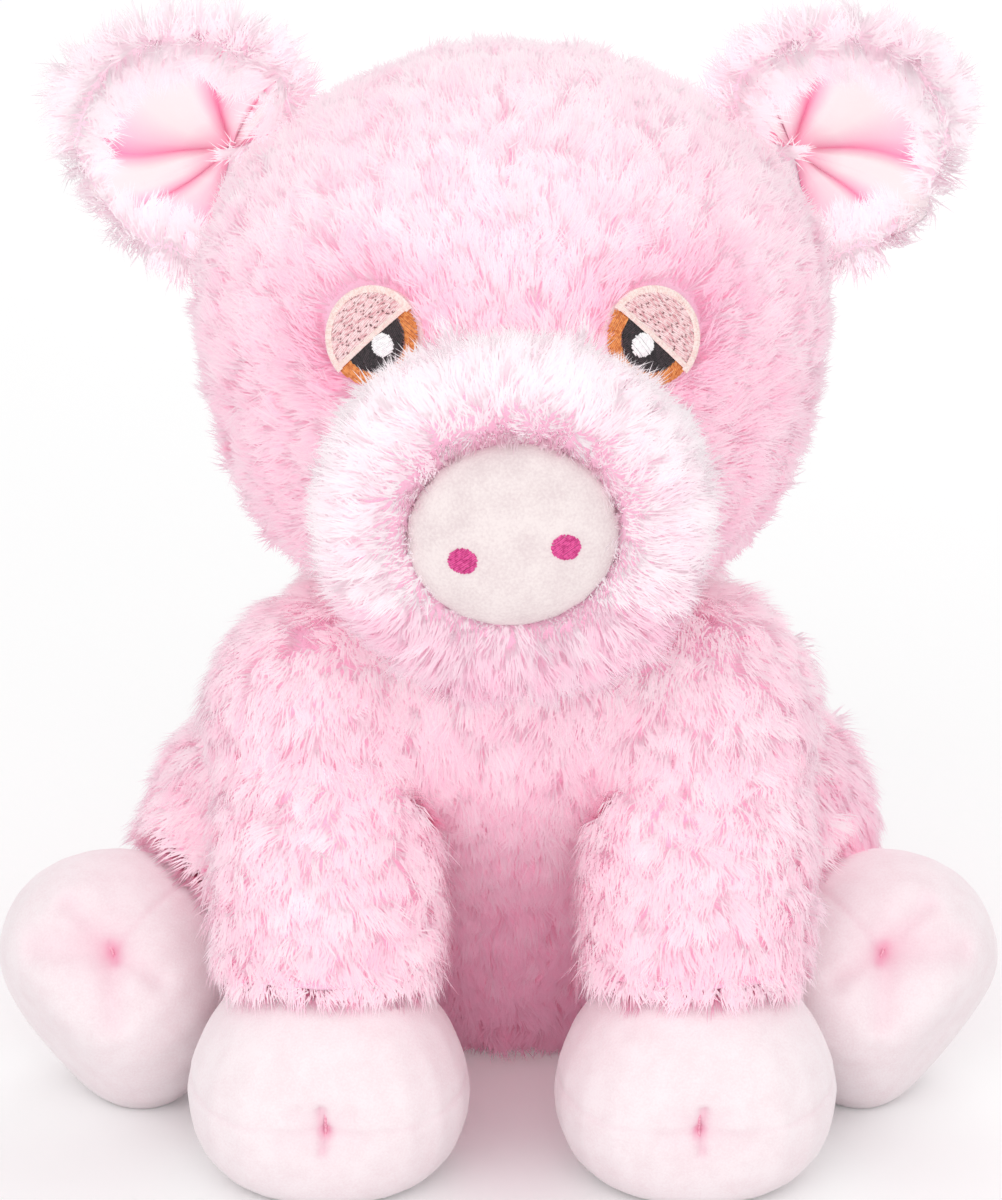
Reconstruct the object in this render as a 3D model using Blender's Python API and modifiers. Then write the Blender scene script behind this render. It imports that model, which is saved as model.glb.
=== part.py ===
# Plush pig that sits upright: stuffed fur head, body and legs, velour hooves, snout and ear linings.
# Metres, +Z up. The pig looks along -Y, and "left" is the side at -X.
# The origin is the middle of the flat seat under the body.
import math

import bmesh
import bpy
from mathutils import Matrix, Vector

MM = 0.001

# Clearances
SEAM_GAP = 0.3 * MM
JOINT_GAP = 0.5 * MM
FLOOR_CUT = 0.5 * MM

# Torso
TORSO_WIDTH = 116 * MM
TORSO_DEPTH = 112 * MM
TORSO_LEAN = 42 * MM
LIMB_FORWARD_SHARE = 0.232

# Neck: the round top of the torso, on which the head turns
NECK_RADIUS = 50 * MM
NECK_RISE = 38 * MM
NECK_HEIGHT = 100 * MM
HEAD_GAP = 0.8 * MM

# Head
HEAD_WIDTH = 134 * MM
HEAD_DEPTH = 116 * MM
HEAD_HEIGHT = 118 * MM
HEAD_DROP = 25 * MM
HEAD_FORWARD = 14 * MM

# Muzzle and snout
MUZZLE_WIDTH = 75 * MM
MUZZLE_HEIGHT = 67 * MM
MUZZLE_LENGTH = 58 * MM
MUZZLE_REACH = 31 * MM
MUZZLE_LIFT = 40 * MM
SNOUT_WIDTH = 43 * MM
SNOUT_HEIGHT = 38 * MM
SNOUT_THICKNESS = 13 * MM
SNOUT_SINK = 9 * MM
SNOUT_ROLL = math.radians(8)
NOSTRIL_WIDTH = 6.6 * MM
NOSTRIL_HEIGHT = 6.2 * MM
NOSTRIL_SPACING = 20 * MM
NOSTRIL_DROP = 1.8 * MM

# Embroidered eyes
EYE_RADIUS = 10 * MM
EYE_SPACING = 54 * MM
EYE_HEIGHT = 71 * MM
EYE_SLANT = math.radians(38)
PUPIL_RADIUS = 7 * MM
HIGHLIGHT_RADIUS = 2.5 * MM
HIGHLIGHT_DROP = 2.2 * MM
THREAD_THICKNESS = 0.8 * MM
LID_THICKNESS = 1.5 * MM

# Ears
EAR_WIDTH = 60 * MM
EAR_LENGTH = 48 * MM
EAR_OVERRUN = 10 * MM
EAR_CUP = 13 * MM
EAR_CURL = 9 * MM
EAR_WALL = 9 * MM
EAR_HEIGHT_SHARE = 0.79
EAR_BACK_SHIFT = 4 * MM
EAR_TILT = math.radians(15)
EAR_BASE_RADIUS = 5 * MM
EAR_BASE_LENGTH = 40 * MM
EAR_HEAD_SPACE = 2 * MM
EAR_FOLD = math.radians(15)
EAR_SIDE_SHIFT = 4 * MM
LINING_SPACE = 1.2 * MM
LINING_THICKNESS = 2 * MM
LINING_PLEAT = 2.2 * MM
LINING_PLEATS = 3

# Front legs
SHOULDER_RADIUS = 23 * MM
SHOULDER_SPACING = 76 * MM
SHOULDER_HEIGHT = 90 * MM
FRONT_LEG_SWING = math.radians(30)
FRONT_LEG_WIDTH = 54 * MM
FRONT_LEG_DEPTH = 44 * MM

# Rear legs
HIP_RADIUS = 33 * MM
HIP_SPACING = 92 * MM
HIP_HEIGHT = 51 * MM
REAR_LEG_WIDTH = 60 * MM
REAR_LEG_DEPTH = 54 * MM

# Hooves
HOOF_WIDTH = 60 * MM
HOOF_DEPTH = 64 * MM
HOOF_HEIGHT = 46 * MM
HOOF_CLEFT = 9 * MM
FRONT_HOOF_SPACING = 76 * MM
FRONT_HOOF_REACH = 25 * MM
REAR_HOOF_SHARE = 0.93
REAR_HOOF_SPACING = 157 * MM
REAR_HOOF_SIDE_SHIFT = 3 * MM
REAR_HOOF_REACH = 22.5 * MM
REAR_HOOF_ROLL = math.radians(50)
REAR_HOOF_PITCH = math.radians(32)
STITCH_RADIUS = 0.8 * MM
STITCH_LENGTH = 7 * MM

# Tail
TAIL_HEIGHT = 42 * MM
TAIL_ROOT_RADIUS = 5 * MM
TAIL_TUBE_RADIUS = 4.4 * MM
TAIL_CURL_RADIUS = 8 * MM
TAIL_LENGTH = 26 * MM

# How finely the soft forms are cut
BODY_SIDES = 10
HOOF_SIDES = 10
LEG_SIDES = 8
BALL_SEGMENTS = 20
EAR_BASE_SEGMENTS = 12
STITCH_SEGMENTS = 6
EAR_CELLS = 5
LINING_CELLS = 8
DISC_SEGMENTS = 24
TAIL_POINTS = 10

# Rings from the bottom to the top of a form: height, width and depth as shares of its size,
# then how far it has leaned over, as a share of its lean
TORSO_RING_SHARES = (
    (0.00, 0.42, 0.38, 0.00),
    (0.00, 0.68, 0.62, 0.00),
    (0.10, 0.90, 0.84, 0.01),
    (0.30, 1.01, 0.93, 0.06),
    (0.51, 1.02, 0.99, 0.26),
    (0.71, 0.99, 1.01, 0.60),
    (0.89, 0.93, 0.96, 0.88),
)
# Rings of the neck above the torso: height over the rise and radius over the neck's
NECK_RING_SHARES = ((0.12, 1.00), (0.52, 0.90), (0.88, 0.56), (1.00, 0.24))
HEAD_RING_SHARES = (
    (0.00, 0.40, 0.40, 0.00),
    (0.04, 0.66, 0.64, 0.00),
    (0.18, 0.89, 0.88, 0.00),
    (0.38, 0.98, 1.01, 0.00),
    (0.58, 1.04, 1.04, 0.00),
    (0.76, 0.93, 0.92, 0.00),
    (0.90, 0.62, 0.64, 0.00),
    (1.01, 0.27, 0.28, 0.00),
)
MUZZLE_RING_SHARES = (
    (0.00, 0.45, 0.45, 0.00),
    (0.05, 0.84, 0.84, 0.00),
    (0.30, 1.00, 1.00, 0.00),
    (0.60, 1.02, 1.02, 0.00),
    (0.86, 0.95, 0.95, 0.00),
    (1.01, 0.75, 0.75, 0.00),
    (0.96, 0.54, 0.54, 0.00),
    (0.88, 0.34, 0.34, 0.00),
)
SNOUT_RING_SHARES = (
    (0.00, 0.50, 0.50, 0.00),
    (0.10, 0.88, 0.88, 0.00),
    (0.45, 1.03, 1.03, 0.00),
    (0.80, 0.92, 0.92, 0.00),
    (1.00, 0.60, 0.60, 0.00),
    (1.05, 0.25, 0.25, 0.00),
)
FRONT_LEG_RING_SHARES = (
    (0.00, 0.98, 0.98, 0.00),
    (0.14, 1.02, 1.03, 0.03),
    (0.42, 1.01, 1.06, 0.22),
    (0.68, 0.99, 1.08, 0.64),
    (0.88, 0.84, 0.92, 0.94),
    (1.00, 0.50, 0.56, 1.00),
)
REAR_LEG_RING_SHARES = (
    (0.00, 0.80, 0.84, 0.00),
    (0.16, 0.92, 0.96, 0.20),
    (0.40, 1.00, 1.03, 0.70),
    (0.62, 0.98, 1.02, 1.00),
    (0.86, 0.70, 0.72, 1.00),
    (1.00, 0.34, 0.34, 1.00),
)
HOOF_RING_SHARES = (
    (0.00, 0.44, 0.44, 0.00),
    (0.00, 0.68, 0.68, 0.00),
    (0.14, 0.93, 0.93, 0.00),
    (0.40, 1.05, 1.05, 0.00),
    (0.70, 0.91, 0.91, 0.00),
    (0.93, 0.60, 0.60, 0.00),
    (1.02, 0.26, 0.26, 0.00),
)
# How deep the cleft between the toes is at each ring of the hoof
HOOF_CLEFT_SHARES = (0.0, 0.1, 0.7, 1.0, 0.4, 0.0, 0.0)

EAR_BASE_TAPER_SHARE = 0.15
LINING_SHARE = 0.80
CUFF_SHARE = 0.80
LEG_TOP_SHARE = 0.65
STITCH_HEIGHT_SHARE = 0.42
TAIL_TIP_SHARE = 0.6
TAIL_OPENING_SHARE = 0.45
TAIL_TURNS = 1.1

LEFT, RIGHT = -1, 1
SIDE_NAMES = {LEFT: "left", RIGHT: "right"}
FACE_FORWARD = Matrix.Rotation(math.radians(90), 4, "X")


def clear_scene():
    for obj in list(bpy.data.objects):
        bpy.data.objects.remove(obj, do_unlink=True)


def new_collection(name):
    collection = bpy.data.collections.new(name)
    bpy.context.scene.collection.children.link(collection)
    return collection


def linear(channel):
    return channel / 12.92 if channel <= 0.04045 else ((channel + 0.055) / 1.055) ** 2.4


def cloth(name, colour, roughness):
    material = bpy.data.materials.new(name)
    material.use_nodes = True
    shader = material.node_tree.nodes["Principled BSDF"]
    red, green, blue = (linear(int(colour[i:i + 2], 16) / 255) for i in (0, 2, 4))
    shader.inputs["Base Color"].default_value = (red, green, blue, 1)
    shader.inputs["Roughness"].default_value = roughness
    shader.inputs["Metallic"].default_value = 0
    return material


def add_object(name, mesh, collection, matrix=None, material=None):
    obj = bpy.data.objects.new(name, mesh)
    collection.objects.link(obj)
    if matrix is not None:
        obj.matrix_world = matrix
    if material is not None and not mesh.materials:
        mesh.materials.append(material)
    mesh.shade_smooth()
    return obj


def finish_mesh(bm, name):
    bmesh.ops.recalc_face_normals(bm, faces=bm.faces)
    mesh = bpy.data.meshes.new(name)
    bm.to_mesh(mesh)
    bm.free()
    return mesh


def ring_mesh(name, size, ring_shares, sides, lean=Vector((0, 0)), dents=None):
    """Coarse cage through rings stacked along Z; dents pulls the -Y point of each ring inwards."""
    bm = bmesh.new()
    radius = 1 / math.cos(math.pi / sides)
    loops = []
    for index, (height, width, depth, leaned) in enumerate(ring_shares):
        ring = bmesh.ops.create_circle(bm, segments=sides, radius=radius)["verts"]
        toe = min(ring, key=lambda vert: vert.co.y)
        for vert in ring:
            vert.co.x = vert.co.x * size.x / 2 * width + lean.x * leaned
            vert.co.y = vert.co.y * size.y / 2 * depth + lean.y * leaned
            vert.co.z = size.z * height
        if dents:
            toe.co.y += dents[index]
        loops.append(list({edge for vert in ring for edge in vert.link_edges}))
    for lower, upper in zip(loops, loops[1:]):
        bmesh.ops.bridge_loops(bm, edges=lower + upper)
    bmesh.ops.holes_fill(bm, edges=loops[0] + loops[-1], sides=sides)
    return finish_mesh(bm, name)


def ball_mesh(name, radius, half_length=0, segments=BALL_SEGMENTS):
    """Ball with its poles on Z, drawn out into a capsule when it has a half length."""
    bm = bmesh.new()
    rings = segments // 4 * 2 + 1
    bmesh.ops.create_uvsphere(bm, u_segments=segments, v_segments=rings, radius=radius)
    for vert in bm.verts:
        vert.co.z += math.copysign(half_length, vert.co.z)
    return finish_mesh(bm, name)


def smooth(obj):
    modifier = obj.modifiers.new("smooth", "SUBSURF")
    modifier.levels = modifier.render_levels = 1
    return obj


def swell(obj, distance):
    modifier = obj.modifiers.new("swell", "DISPLACE")
    modifier.mid_level = 0
    modifier.strength = distance
    return obj


def boolean(obj, other, operation):
    modifier = obj.modifiers.new(operation.lower(), "BOOLEAN")
    modifier.operation = operation
    modifier.solver = "EXACT"
    modifier.object = other


def cut(obj, *cutters):
    for cutter in cutters:
        boolean(obj, cutter, "DIFFERENCE")


def as_cutter(obj):
    obj.hide_render = True
    obj.display_type = "WIRE"
    return obj


def grown(source, distance):
    """Cutter with the outer shape of a soft form, moved out by a distance."""
    cutter = bpy.data.objects.new(f"{source.name}_grown", source.data)
    CUTTERS.objects.link(cutter)
    cutter.matrix_world = source.matrix_world.copy()
    return as_cutter(swell(smooth(cutter), distance))


def helper(name, mesh, matrix):
    return as_cutter(add_object(name, mesh, CUTTERS, matrix))


def surface_hit(obj, origin, direction):
    """Point and outward normal, in world space, where a ray first meets an object."""
    bpy.context.view_layer.update()
    ready = obj.evaluated_get(bpy.context.evaluated_depsgraph_get())
    to_local = obj.matrix_world.inverted()
    turn = obj.matrix_world.to_3x3()
    _, point, normal, _ = ready.ray_cast(to_local @ origin, to_local.to_3x3() @ direction)
    return obj.matrix_world @ point, (turn @ normal).normalized()


def turned(source, distance, pivot, axis, angle):
    """A form, grown by a distance, as a piece meets it when the piece has turned about its joint."""
    cutter = grown(source, distance)
    turn = Matrix.Rotation(-angle, 4, axis)
    cutter.matrix_world = Matrix.Translation(pivot) @ turn @ Matrix.Translation(-pivot) @ source.matrix_world
    return cutter


def frame_at(point, x_axis, y_axis, z_axis):
    return Matrix.Translation(point) @ Matrix((x_axis, y_axis, z_axis)).transposed().to_4x4()


def joint_empty(name, location):
    empty = bpy.data.objects.new(name, None)
    PIG.objects.link(empty)
    empty.location = location
    empty.empty_display_size = SHOULDER_RADIUS
    return empty


def carry(empty, *pieces):
    for piece in pieces:
        piece.location -= empty.location
        piece.parent = empty


def floor_cutter():
    bm = bmesh.new()
    bmesh.ops.create_cube(bm, size=1)
    reach = HEAD_WIDTH + REAR_HOOF_SPACING
    bmesh.ops.scale(bm, vec=Vector((reach, reach, HOOF_HEIGHT)), verts=bm.verts)
    bmesh.ops.translate(bm, vec=Vector((0, 0, -HOOF_HEIGHT / 2)), verts=bm.verts)
    return helper("floor_cutter", finish_mesh(bm, "floor_cutter"), Matrix())


def torso_rings():
    rings = [(height * NECK_HEIGHT, width * TORSO_WIDTH, depth * TORSO_DEPTH, leaned)
             for height, width, depth, leaned in TORSO_RING_SHARES]
    for rise, radius in NECK_RING_SHARES:
        across = 2 * NECK_RADIUS * radius
        rings.append((NECK_HEIGHT + NECK_RISE * rise, across, across, 1))
    return rings


def make_torso():
    place = Matrix.Translation((0, 0, -FLOOR_CUT))
    lean = Vector((0, -TORSO_LEAN))
    mesh = ring_mesh("torso", Vector((1, 1, 1)), torso_rings(), BODY_SIDES, lean)
    return smooth(add_object("torso", mesh, PIG, place, FUR))


def neck_top():
    return Vector((0, -TORSO_LEAN, NECK_HEIGHT + NECK_RISE))


def make_head():
    size = Vector((HEAD_WIDTH, HEAD_DEPTH, HEAD_HEIGHT))
    place = Matrix.Translation(neck_top() - Vector((0, HEAD_FORWARD, HEAD_DROP)))
    mesh = ring_mesh("head", size, HEAD_RING_SHARES, BODY_SIDES)
    return smooth(add_object("head", mesh, PIG, place, FUR))


def make_muzzle(head):
    size = Vector((MUZZLE_WIDTH, MUZZLE_HEIGHT, MUZZLE_LENGTH))
    middle = head.location + Vector((0, 0, MUZZLE_LIFT))
    front, _ = surface_hit(head, middle - Vector((0, HEAD_DEPTH, 0)), Vector((0, 1, 0)))
    back = front + Vector((0, MUZZLE_LENGTH - MUZZLE_REACH, 0))
    mesh = ring_mesh("muzzle", size, MUZZLE_RING_SHARES, BODY_SIDES)
    place = Matrix.Translation(back) @ FACE_FORWARD
    return smooth(add_object("muzzle", mesh, PIG, place, MUZZLE_FUR))


def make_snout(muzzle):
    size = Vector((SNOUT_WIDTH, SNOUT_HEIGHT, SNOUT_THICKNESS))
    mesh = ring_mesh("snout_disc", size, SNOUT_RING_SHARES, BODY_SIDES)
    lift = Matrix.Translation((0, 0, MUZZLE_LENGTH - SNOUT_SINK))
    place = muzzle.matrix_world @ lift @ Matrix.Rotation(SNOUT_ROLL, 4, "Z")
    return smooth(add_object("snout_disc", mesh, PIG, place, VELOUR))


def disc_prism(name, radius_x, radius_y, depth, place, keep_side=0, edge=0):
    """Short prism of a disc; keep_side keeps only what lies above or below the line y = edge."""
    bm = bmesh.new()
    bmesh.ops.create_circle(bm, cap_ends=True, segments=DISC_SEGMENTS, radius=1)
    bmesh.ops.scale(bm, vec=Vector((radius_x, radius_y, 1)), verts=bm.verts)
    if keep_side:
        everything = bm.verts[:] + bm.edges[:] + bm.faces[:]
        bmesh.ops.bisect_plane(bm, geom=everything, plane_co=(0, edge, 0),
                               plane_no=(0, -keep_side, 0), clear_outer=True)
    walls = bmesh.ops.extrude_face_region(bm, geom=bm.faces[:])
    top = [item for item in walls["geom"] if isinstance(item, bmesh.types.BMVert)]
    bmesh.ops.translate(bm, vec=Vector((0, 0, depth)), verts=top)
    bmesh.ops.translate(bm, vec=Vector((0, 0, -depth / 2)), verts=bm.verts)
    return add_object(name, finish_mesh(bm, name), PIG, place)


def embroider(patch, material, ground, lift, thickness):
    """Leaves of a prism only the layer that lies over the ground form."""
    patch.data.materials.append(material)
    boolean(patch, grown(ground, lift + thickness), "INTERSECT")
    cut(patch, grown(ground, lift))
    return patch


def make_nostrils(snout):
    nostrils = []
    for side, side_name in SIDE_NAMES.items():
        spot = Matrix.Translation((side * NOSTRIL_SPACING / 2, -NOSTRIL_DROP, SNOUT_THICKNESS))
        prism = disc_prism(f"nostril_{side_name}", NOSTRIL_WIDTH / 2, NOSTRIL_HEIGHT / 2,
                           SNOUT_THICKNESS, snout.matrix_world @ spot)
        nostrils.append(embroider(prism, NOSTRIL_THREAD, snout, SEAM_GAP, THREAD_THICKNESS))
    return nostrils


def eye_place(head, side):
    start = head.location + Vector((side * EYE_SPACING / 2, -HEAD_DEPTH, EYE_HEIGHT))
    point, normal = surface_hit(head, start, Vector((0, 1, 0)))
    edge = Vector((math.cos(EYE_SLANT), 0, -side * math.sin(EYE_SLANT)))
    up = normal.cross(edge).normalized()
    return frame_at(point, up.cross(normal), up, normal)


def make_eye(head, muzzle, side, place):
    side_name = SIDE_NAMES[side]
    depth = EYE_RADIUS * 2
    layer = SEAM_GAP + THREAD_THICKNESS
    shine = place @ Matrix.Translation((0, -HIGHLIGHT_DROP, 0))
    lid = disc_prism(f"eye_{side_name}_lid", EYE_RADIUS, EYE_RADIUS, depth, place, 1, SEAM_GAP / 2)
    iris = disc_prism(f"eye_{side_name}_iris", EYE_RADIUS, EYE_RADIUS, depth, place, -1, -SEAM_GAP / 2)
    pupil = disc_prism(f"eye_{side_name}_pupil", PUPIL_RADIUS, PUPIL_RADIUS, depth, place, -1, -SEAM_GAP)
    highlight = disc_prism(f"eye_{side_name}_highlight", HIGHLIGHT_RADIUS, HIGHLIGHT_RADIUS, depth,
                           shine, -1, HIGHLIGHT_DROP - SEAM_GAP)
    embroider(lid, LID_THREAD, head, SEAM_GAP, LID_THICKNESS)
    embroider(iris, IRIS_THREAD, head, SEAM_GAP, THREAD_THICKNESS)
    embroider(pupil, PUPIL_THREAD, head, SEAM_GAP + layer, THREAD_THICKNESS)
    embroider(highlight, WHITE_THREAD, head, SEAM_GAP + 2 * layer, THREAD_THICKNESS)
    under_muzzle = grown(muzzle, SEAM_GAP)
    for piece in (lid, iris, pupil, highlight):
        cut(piece, under_muzzle)
    return [lid, iris, pupil, highlight]


def ear_sheet_point(across, along):
    """Place on the ear's cupped sheet: X down the base seam, Y away from the head, Z forward."""
    round_across = across * math.sqrt(1 - along * along / 2)
    round_along = along * math.sqrt(1 - across * across / 2)
    near_head = (1 - round_along) / 2
    narrow = 1 - EAR_BASE_TAPER_SHARE * near_head ** 2
    reach = EAR_LENGTH + EAR_OVERRUN
    x = round_across * narrow * EAR_WIDTH / 2 + EAR_SIDE_SHIFT * (1 - near_head)
    y = reach * (1 - near_head) - EAR_OVERRUN
    cup = EAR_CUP * round_across ** 2
    curl = EAR_CURL * (1 - near_head) ** 2
    return Vector((x, y, cup + curl))


def ear_sheet(share, cells, pleat=0):
    """Grid laid over the ear's sheet, shrunk to a share of it; pleat raises folds that fan from the base."""
    bm = bmesh.new()
    bmesh.ops.create_grid(bm, x_segments=cells, y_segments=cells, size=1)
    for vert in bm.verts:
        across, along = vert.co.x * share, vert.co.y * share
        vert.co = ear_sheet_point(across, along)
        if pleat:
            fold = 0.5 - 0.5 * math.cos((across / share + 1) * math.pi * LINING_PLEATS)
            vert.co.z += pleat * fold
    bmesh.ops.recalc_face_normals(bm, faces=bm.faces)
    return bm


def ear_place(head, side):
    """Frame on the side of the head: X down along the base seam, Y away from the head, Z forward."""
    height = HEAD_HEIGHT * EAR_HEIGHT_SHARE
    start = head.location + Vector((side * HEAD_WIDTH, EAR_BACK_SHIFT + HEAD_FORWARD, height))
    point, _ = surface_hit(head, start, Vector((-side, 0, 0)))
    down = Vector((side * math.sin(EAR_TILT), 0, -math.cos(EAR_TILT)))
    away = Vector((side * math.cos(EAR_TILT), 0, math.sin(EAR_TILT)))
    return frame_at(point, down, away, Vector((0, -1, 0)))


def pad_mesh(name, back, front):
    """Closed pad between two grids of the same cells."""
    bm = bmesh.new()
    for sheet in (back, front):
        mesh = finish_mesh(sheet, name)
        bm.from_mesh(mesh)
        bpy.data.meshes.remove(mesh)
    rims = [edge for edge in bm.edges if edge.is_boundary]
    bmesh.ops.bridge_loops(bm, edges=rims)
    return finish_mesh(bm, name)


def moved(sheet, distance):
    bmesh.ops.translate(sheet, vec=Vector((0, 0, distance)), verts=sheet.verts)
    return sheet


def make_ear(head, side, place):
    side_name = SIDE_NAMES[side]
    outer_mesh = pad_mesh(f"ear_{side_name}_outer", moved(ear_sheet(1, EAR_CELLS), -EAR_WALL),
                          ear_sheet(1, EAR_CELLS))
    outer = smooth(add_object(f"ear_{side_name}_outer", outer_mesh, PIG, place, FUR))
    lining_mesh = pad_mesh(f"ear_{side_name}_lining",
                           moved(ear_sheet(LINING_SHARE, LINING_CELLS), LINING_SPACE),
                           moved(ear_sheet(LINING_SHARE, LINING_CELLS, LINING_PLEAT),
                                 LINING_SPACE + LINING_THICKNESS))
    lining = add_object(f"ear_{side_name}_lining", lining_mesh, PIG, place, VELOUR)
    down = place.to_3x3() @ Vector((1, 0, 0))
    near_head = [turned(head, EAR_HEAD_SPACE, place.translation, down, angle)
                 for angle in (-EAR_FOLD, 0, EAR_FOLD)]
    seam = place @ Matrix.Rotation(math.radians(90), 4, "Y")
    half_length = EAR_BASE_LENGTH / 2 - EAR_BASE_RADIUS
    root_mesh = ball_mesh("ear_root", EAR_BASE_RADIUS, half_length, EAR_BASE_SEGMENTS)
    root = helper(f"ear_{side_name}_root", root_mesh, seam)
    socket_mesh = ball_mesh("ear_socket", EAR_BASE_RADIUS + JOINT_GAP, half_length, EAR_BASE_SEGMENTS)
    socket = helper(f"ear_{side_name}_socket", socket_mesh, seam)
    cut(lining, *near_head, socket)
    cut(outer, *near_head)
    boolean(outer, root, "UNION")
    cut(head, socket)
    carry(joint_empty(f"ear_{side_name}_pivot", place.translation), outer, lining)


def round_cutter(name, centre, radius, axis):
    """Ball cutter with its poles on a joint's axis, so that its facets turn in those of its socket."""
    turn = axis.to_track_quat("Z", "Y").to_matrix().to_4x4()
    return helper(name, ball_mesh(name, radius), Matrix.Translation(centre) @ turn)


def shoulder_place(side):
    forward = TORSO_LEAN + TORSO_DEPTH * LIMB_FORWARD_SHARE
    return Vector((side * SHOULDER_SPACING / 2, -forward, SHOULDER_HEIGHT))


def hip_place(side):
    return Vector((side * HIP_SPACING / 2, -TORSO_DEPTH * LIMB_FORWARD_SHARE, HIP_HEIGHT))


def hoof_mesh(name, hoof_share):
    size = Vector((HOOF_WIDTH, HOOF_DEPTH, HOOF_HEIGHT)) * hoof_share
    dents = [HOOF_CLEFT * hoof_share * share for share in HOOF_CLEFT_SHARES]
    return ring_mesh(name, size, HOOF_RING_SHARES, HOOF_SIDES, dents=dents)


def lowest_point(obj):
    bpy.context.view_layer.update()
    ready = obj.evaluated_get(bpy.context.evaluated_depsgraph_get())
    return min((obj.matrix_world @ vert.co).z for vert in ready.data.vertices)


def make_front_hoof(side):
    name = f"front_hoof_{SIDE_NAMES[side]}"
    forward = FRONT_HOOF_REACH - shoulder_place(side).y
    place = Matrix.Translation((side * FRONT_HOOF_SPACING / 2, -forward, -FLOOR_CUT))
    return smooth(add_object(name, hoof_mesh(name, 1), PIG, place, VELOUR))


def make_rear_hoof(side):
    """The hoof lies on its outer edge with its toes raised, and dips a little into the floor."""
    name = f"rear_hoof_{SIDE_NAMES[side]}"
    roll = Matrix.Rotation(-side * REAR_HOOF_ROLL, 4, "Y")
    pitch = Matrix.Rotation(-REAR_HOOF_PITCH, 4, "X")
    forward = REAR_HOOF_REACH - hip_place(side).y
    middle = Vector((side * REAR_HOOF_SPACING / 2 - REAR_HOOF_SIDE_SHIFT, -forward, 0))
    drop = Matrix.Translation((0, 0, -HOOF_HEIGHT * REAR_HOOF_SHARE / 2))
    place = Matrix.Translation(middle) @ pitch @ roll @ drop
    hoof = smooth(add_object(name, hoof_mesh(name, REAR_HOOF_SHARE), PIG, place, VELOUR))
    hoof.location.z -= lowest_point(hoof) + FLOOR_CUT
    bpy.context.view_layer.update()
    return hoof


def make_stitch(hoof, hoof_share):
    """Tie thread that holds the cleft, lying on the hoof between its toes."""
    turn = hoof.matrix_world.to_3x3()
    height = HOOF_HEIGHT * hoof_share * STITCH_HEIGHT_SHARE
    start = hoof.matrix_world @ Vector((0, -HOOF_DEPTH, height))
    point, normal = surface_hit(hoof, start, turn @ Vector((0, 1, 0)))
    along = (turn @ Vector((1, 0, 0))).cross(normal).normalized()
    place = frame_at(point + normal * (STITCH_RADIUS + SEAM_GAP), normal.cross(along), normal, along)
    name = f"{hoof.name}_stitch"
    half_length = STITCH_LENGTH / 2 - STITCH_RADIUS
    mesh = ball_mesh(name, STITCH_RADIUS, half_length, STITCH_SEGMENTS)
    return add_object(name, mesh, PIG, place, STITCH_THREAD)


def make_leg(name, hoof, torso, pivot, hoof_share, ball_radius, axis, width, depth, ring_shares, swings):
    """Fur tube from the hoof's top to the body, ending in a ball that turns in the body's socket."""
    cuff = HOOF_HEIGHT * hoof_share * CUFF_SHARE
    top = hoof.matrix_world.inverted() @ pivot
    size = Vector((width, depth, top.z - cuff + ball_radius * LEG_TOP_SHARE))
    place = hoof.matrix_world @ Matrix.Translation((0, 0, cuff))
    mesh = ring_mesh(name, size, ring_shares, LEG_SIDES, Vector((top.x, top.y)))
    leg = smooth(add_object(name, mesh, PIG, place, FUR))
    cut(leg, *[turned(torso, JOINT_GAP, pivot, axis, angle) for angle in swings])
    boolean(leg, round_cutter(f"{name}_ball", pivot, ball_radius, axis), "UNION")
    cut(leg, grown(hoof, SEAM_GAP))
    cut(torso, round_cutter(f"{name}_socket", pivot, ball_radius + JOINT_GAP, axis))
    return leg


def make_limbs(side, torso, hooves, stitches):
    limbs = (
        ("front_leg", shoulder_place(side), 1, SHOULDER_RADIUS, Vector((-1, 0, 0)),
         FRONT_LEG_WIDTH, FRONT_LEG_DEPTH, FRONT_LEG_RING_SHARES,
         (0, FRONT_LEG_SWING / 2, FRONT_LEG_SWING)),
        ("rear_leg", hip_place(side), REAR_HOOF_SHARE, HIP_RADIUS, Vector((0, 0, 1)),
         REAR_LEG_WIDTH, REAR_LEG_DEPTH, REAR_LEG_RING_SHARES, (0,)),
    )
    for hoof, stitch, (limb_name, pivot, *form) in zip(hooves, stitches, limbs):
        name = f"{limb_name}_{SIDE_NAMES[side]}"
        leg = make_leg(name, hoof, torso, pivot, *form)
        carry(joint_empty(f"{name}_pivot", pivot), leg, hoof, stitch)


def tail_mesh():
    """Tube along a curl that opens out from the root, with its ends capped."""
    curve = bpy.data.curves.new("tail_curl", "CURVE")
    curve.dimensions = "3D"
    curve.bevel_depth = TAIL_TUBE_RADIUS
    curve.bevel_resolution = 1
    curve.use_fill_caps = True
    spline = curve.splines.new("POLY")
    spline.points.add(TAIL_POINTS - 1)
    for index, point in enumerate(spline.points):
        share = index / (TAIL_POINTS - 1)
        angle = share * TAIL_TURNS * 2 * math.pi
        opening = math.sin(min(share / TAIL_OPENING_SHARE, 1) * math.pi / 2) ** 2
        sideways = TAIL_CURL_RADIUS * opening * math.sin(angle)
        upward = TAIL_CURL_RADIUS * opening * (1 - math.cos(angle))
        point.co = (sideways, TAIL_LENGTH * share, upward, 1)
        point.radius = 1 - (1 - TAIL_TIP_SHARE) * share
    guide = bpy.data.objects.new("tail_curl", curve)
    CUTTERS.objects.link(guide)
    bpy.context.view_layer.update()
    mesh = bpy.data.meshes.new_from_object(guide.evaluated_get(bpy.context.evaluated_depsgraph_get()))
    bpy.data.objects.remove(guide)
    bm = bmesh.new()
    bm.from_mesh(mesh)
    bmesh.ops.remove_doubles(bm, verts=bm.verts, dist=TAIL_TUBE_RADIUS / BALL_SEGMENTS)
    bpy.data.meshes.remove(mesh)
    return finish_mesh(bm, "tail")


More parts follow.
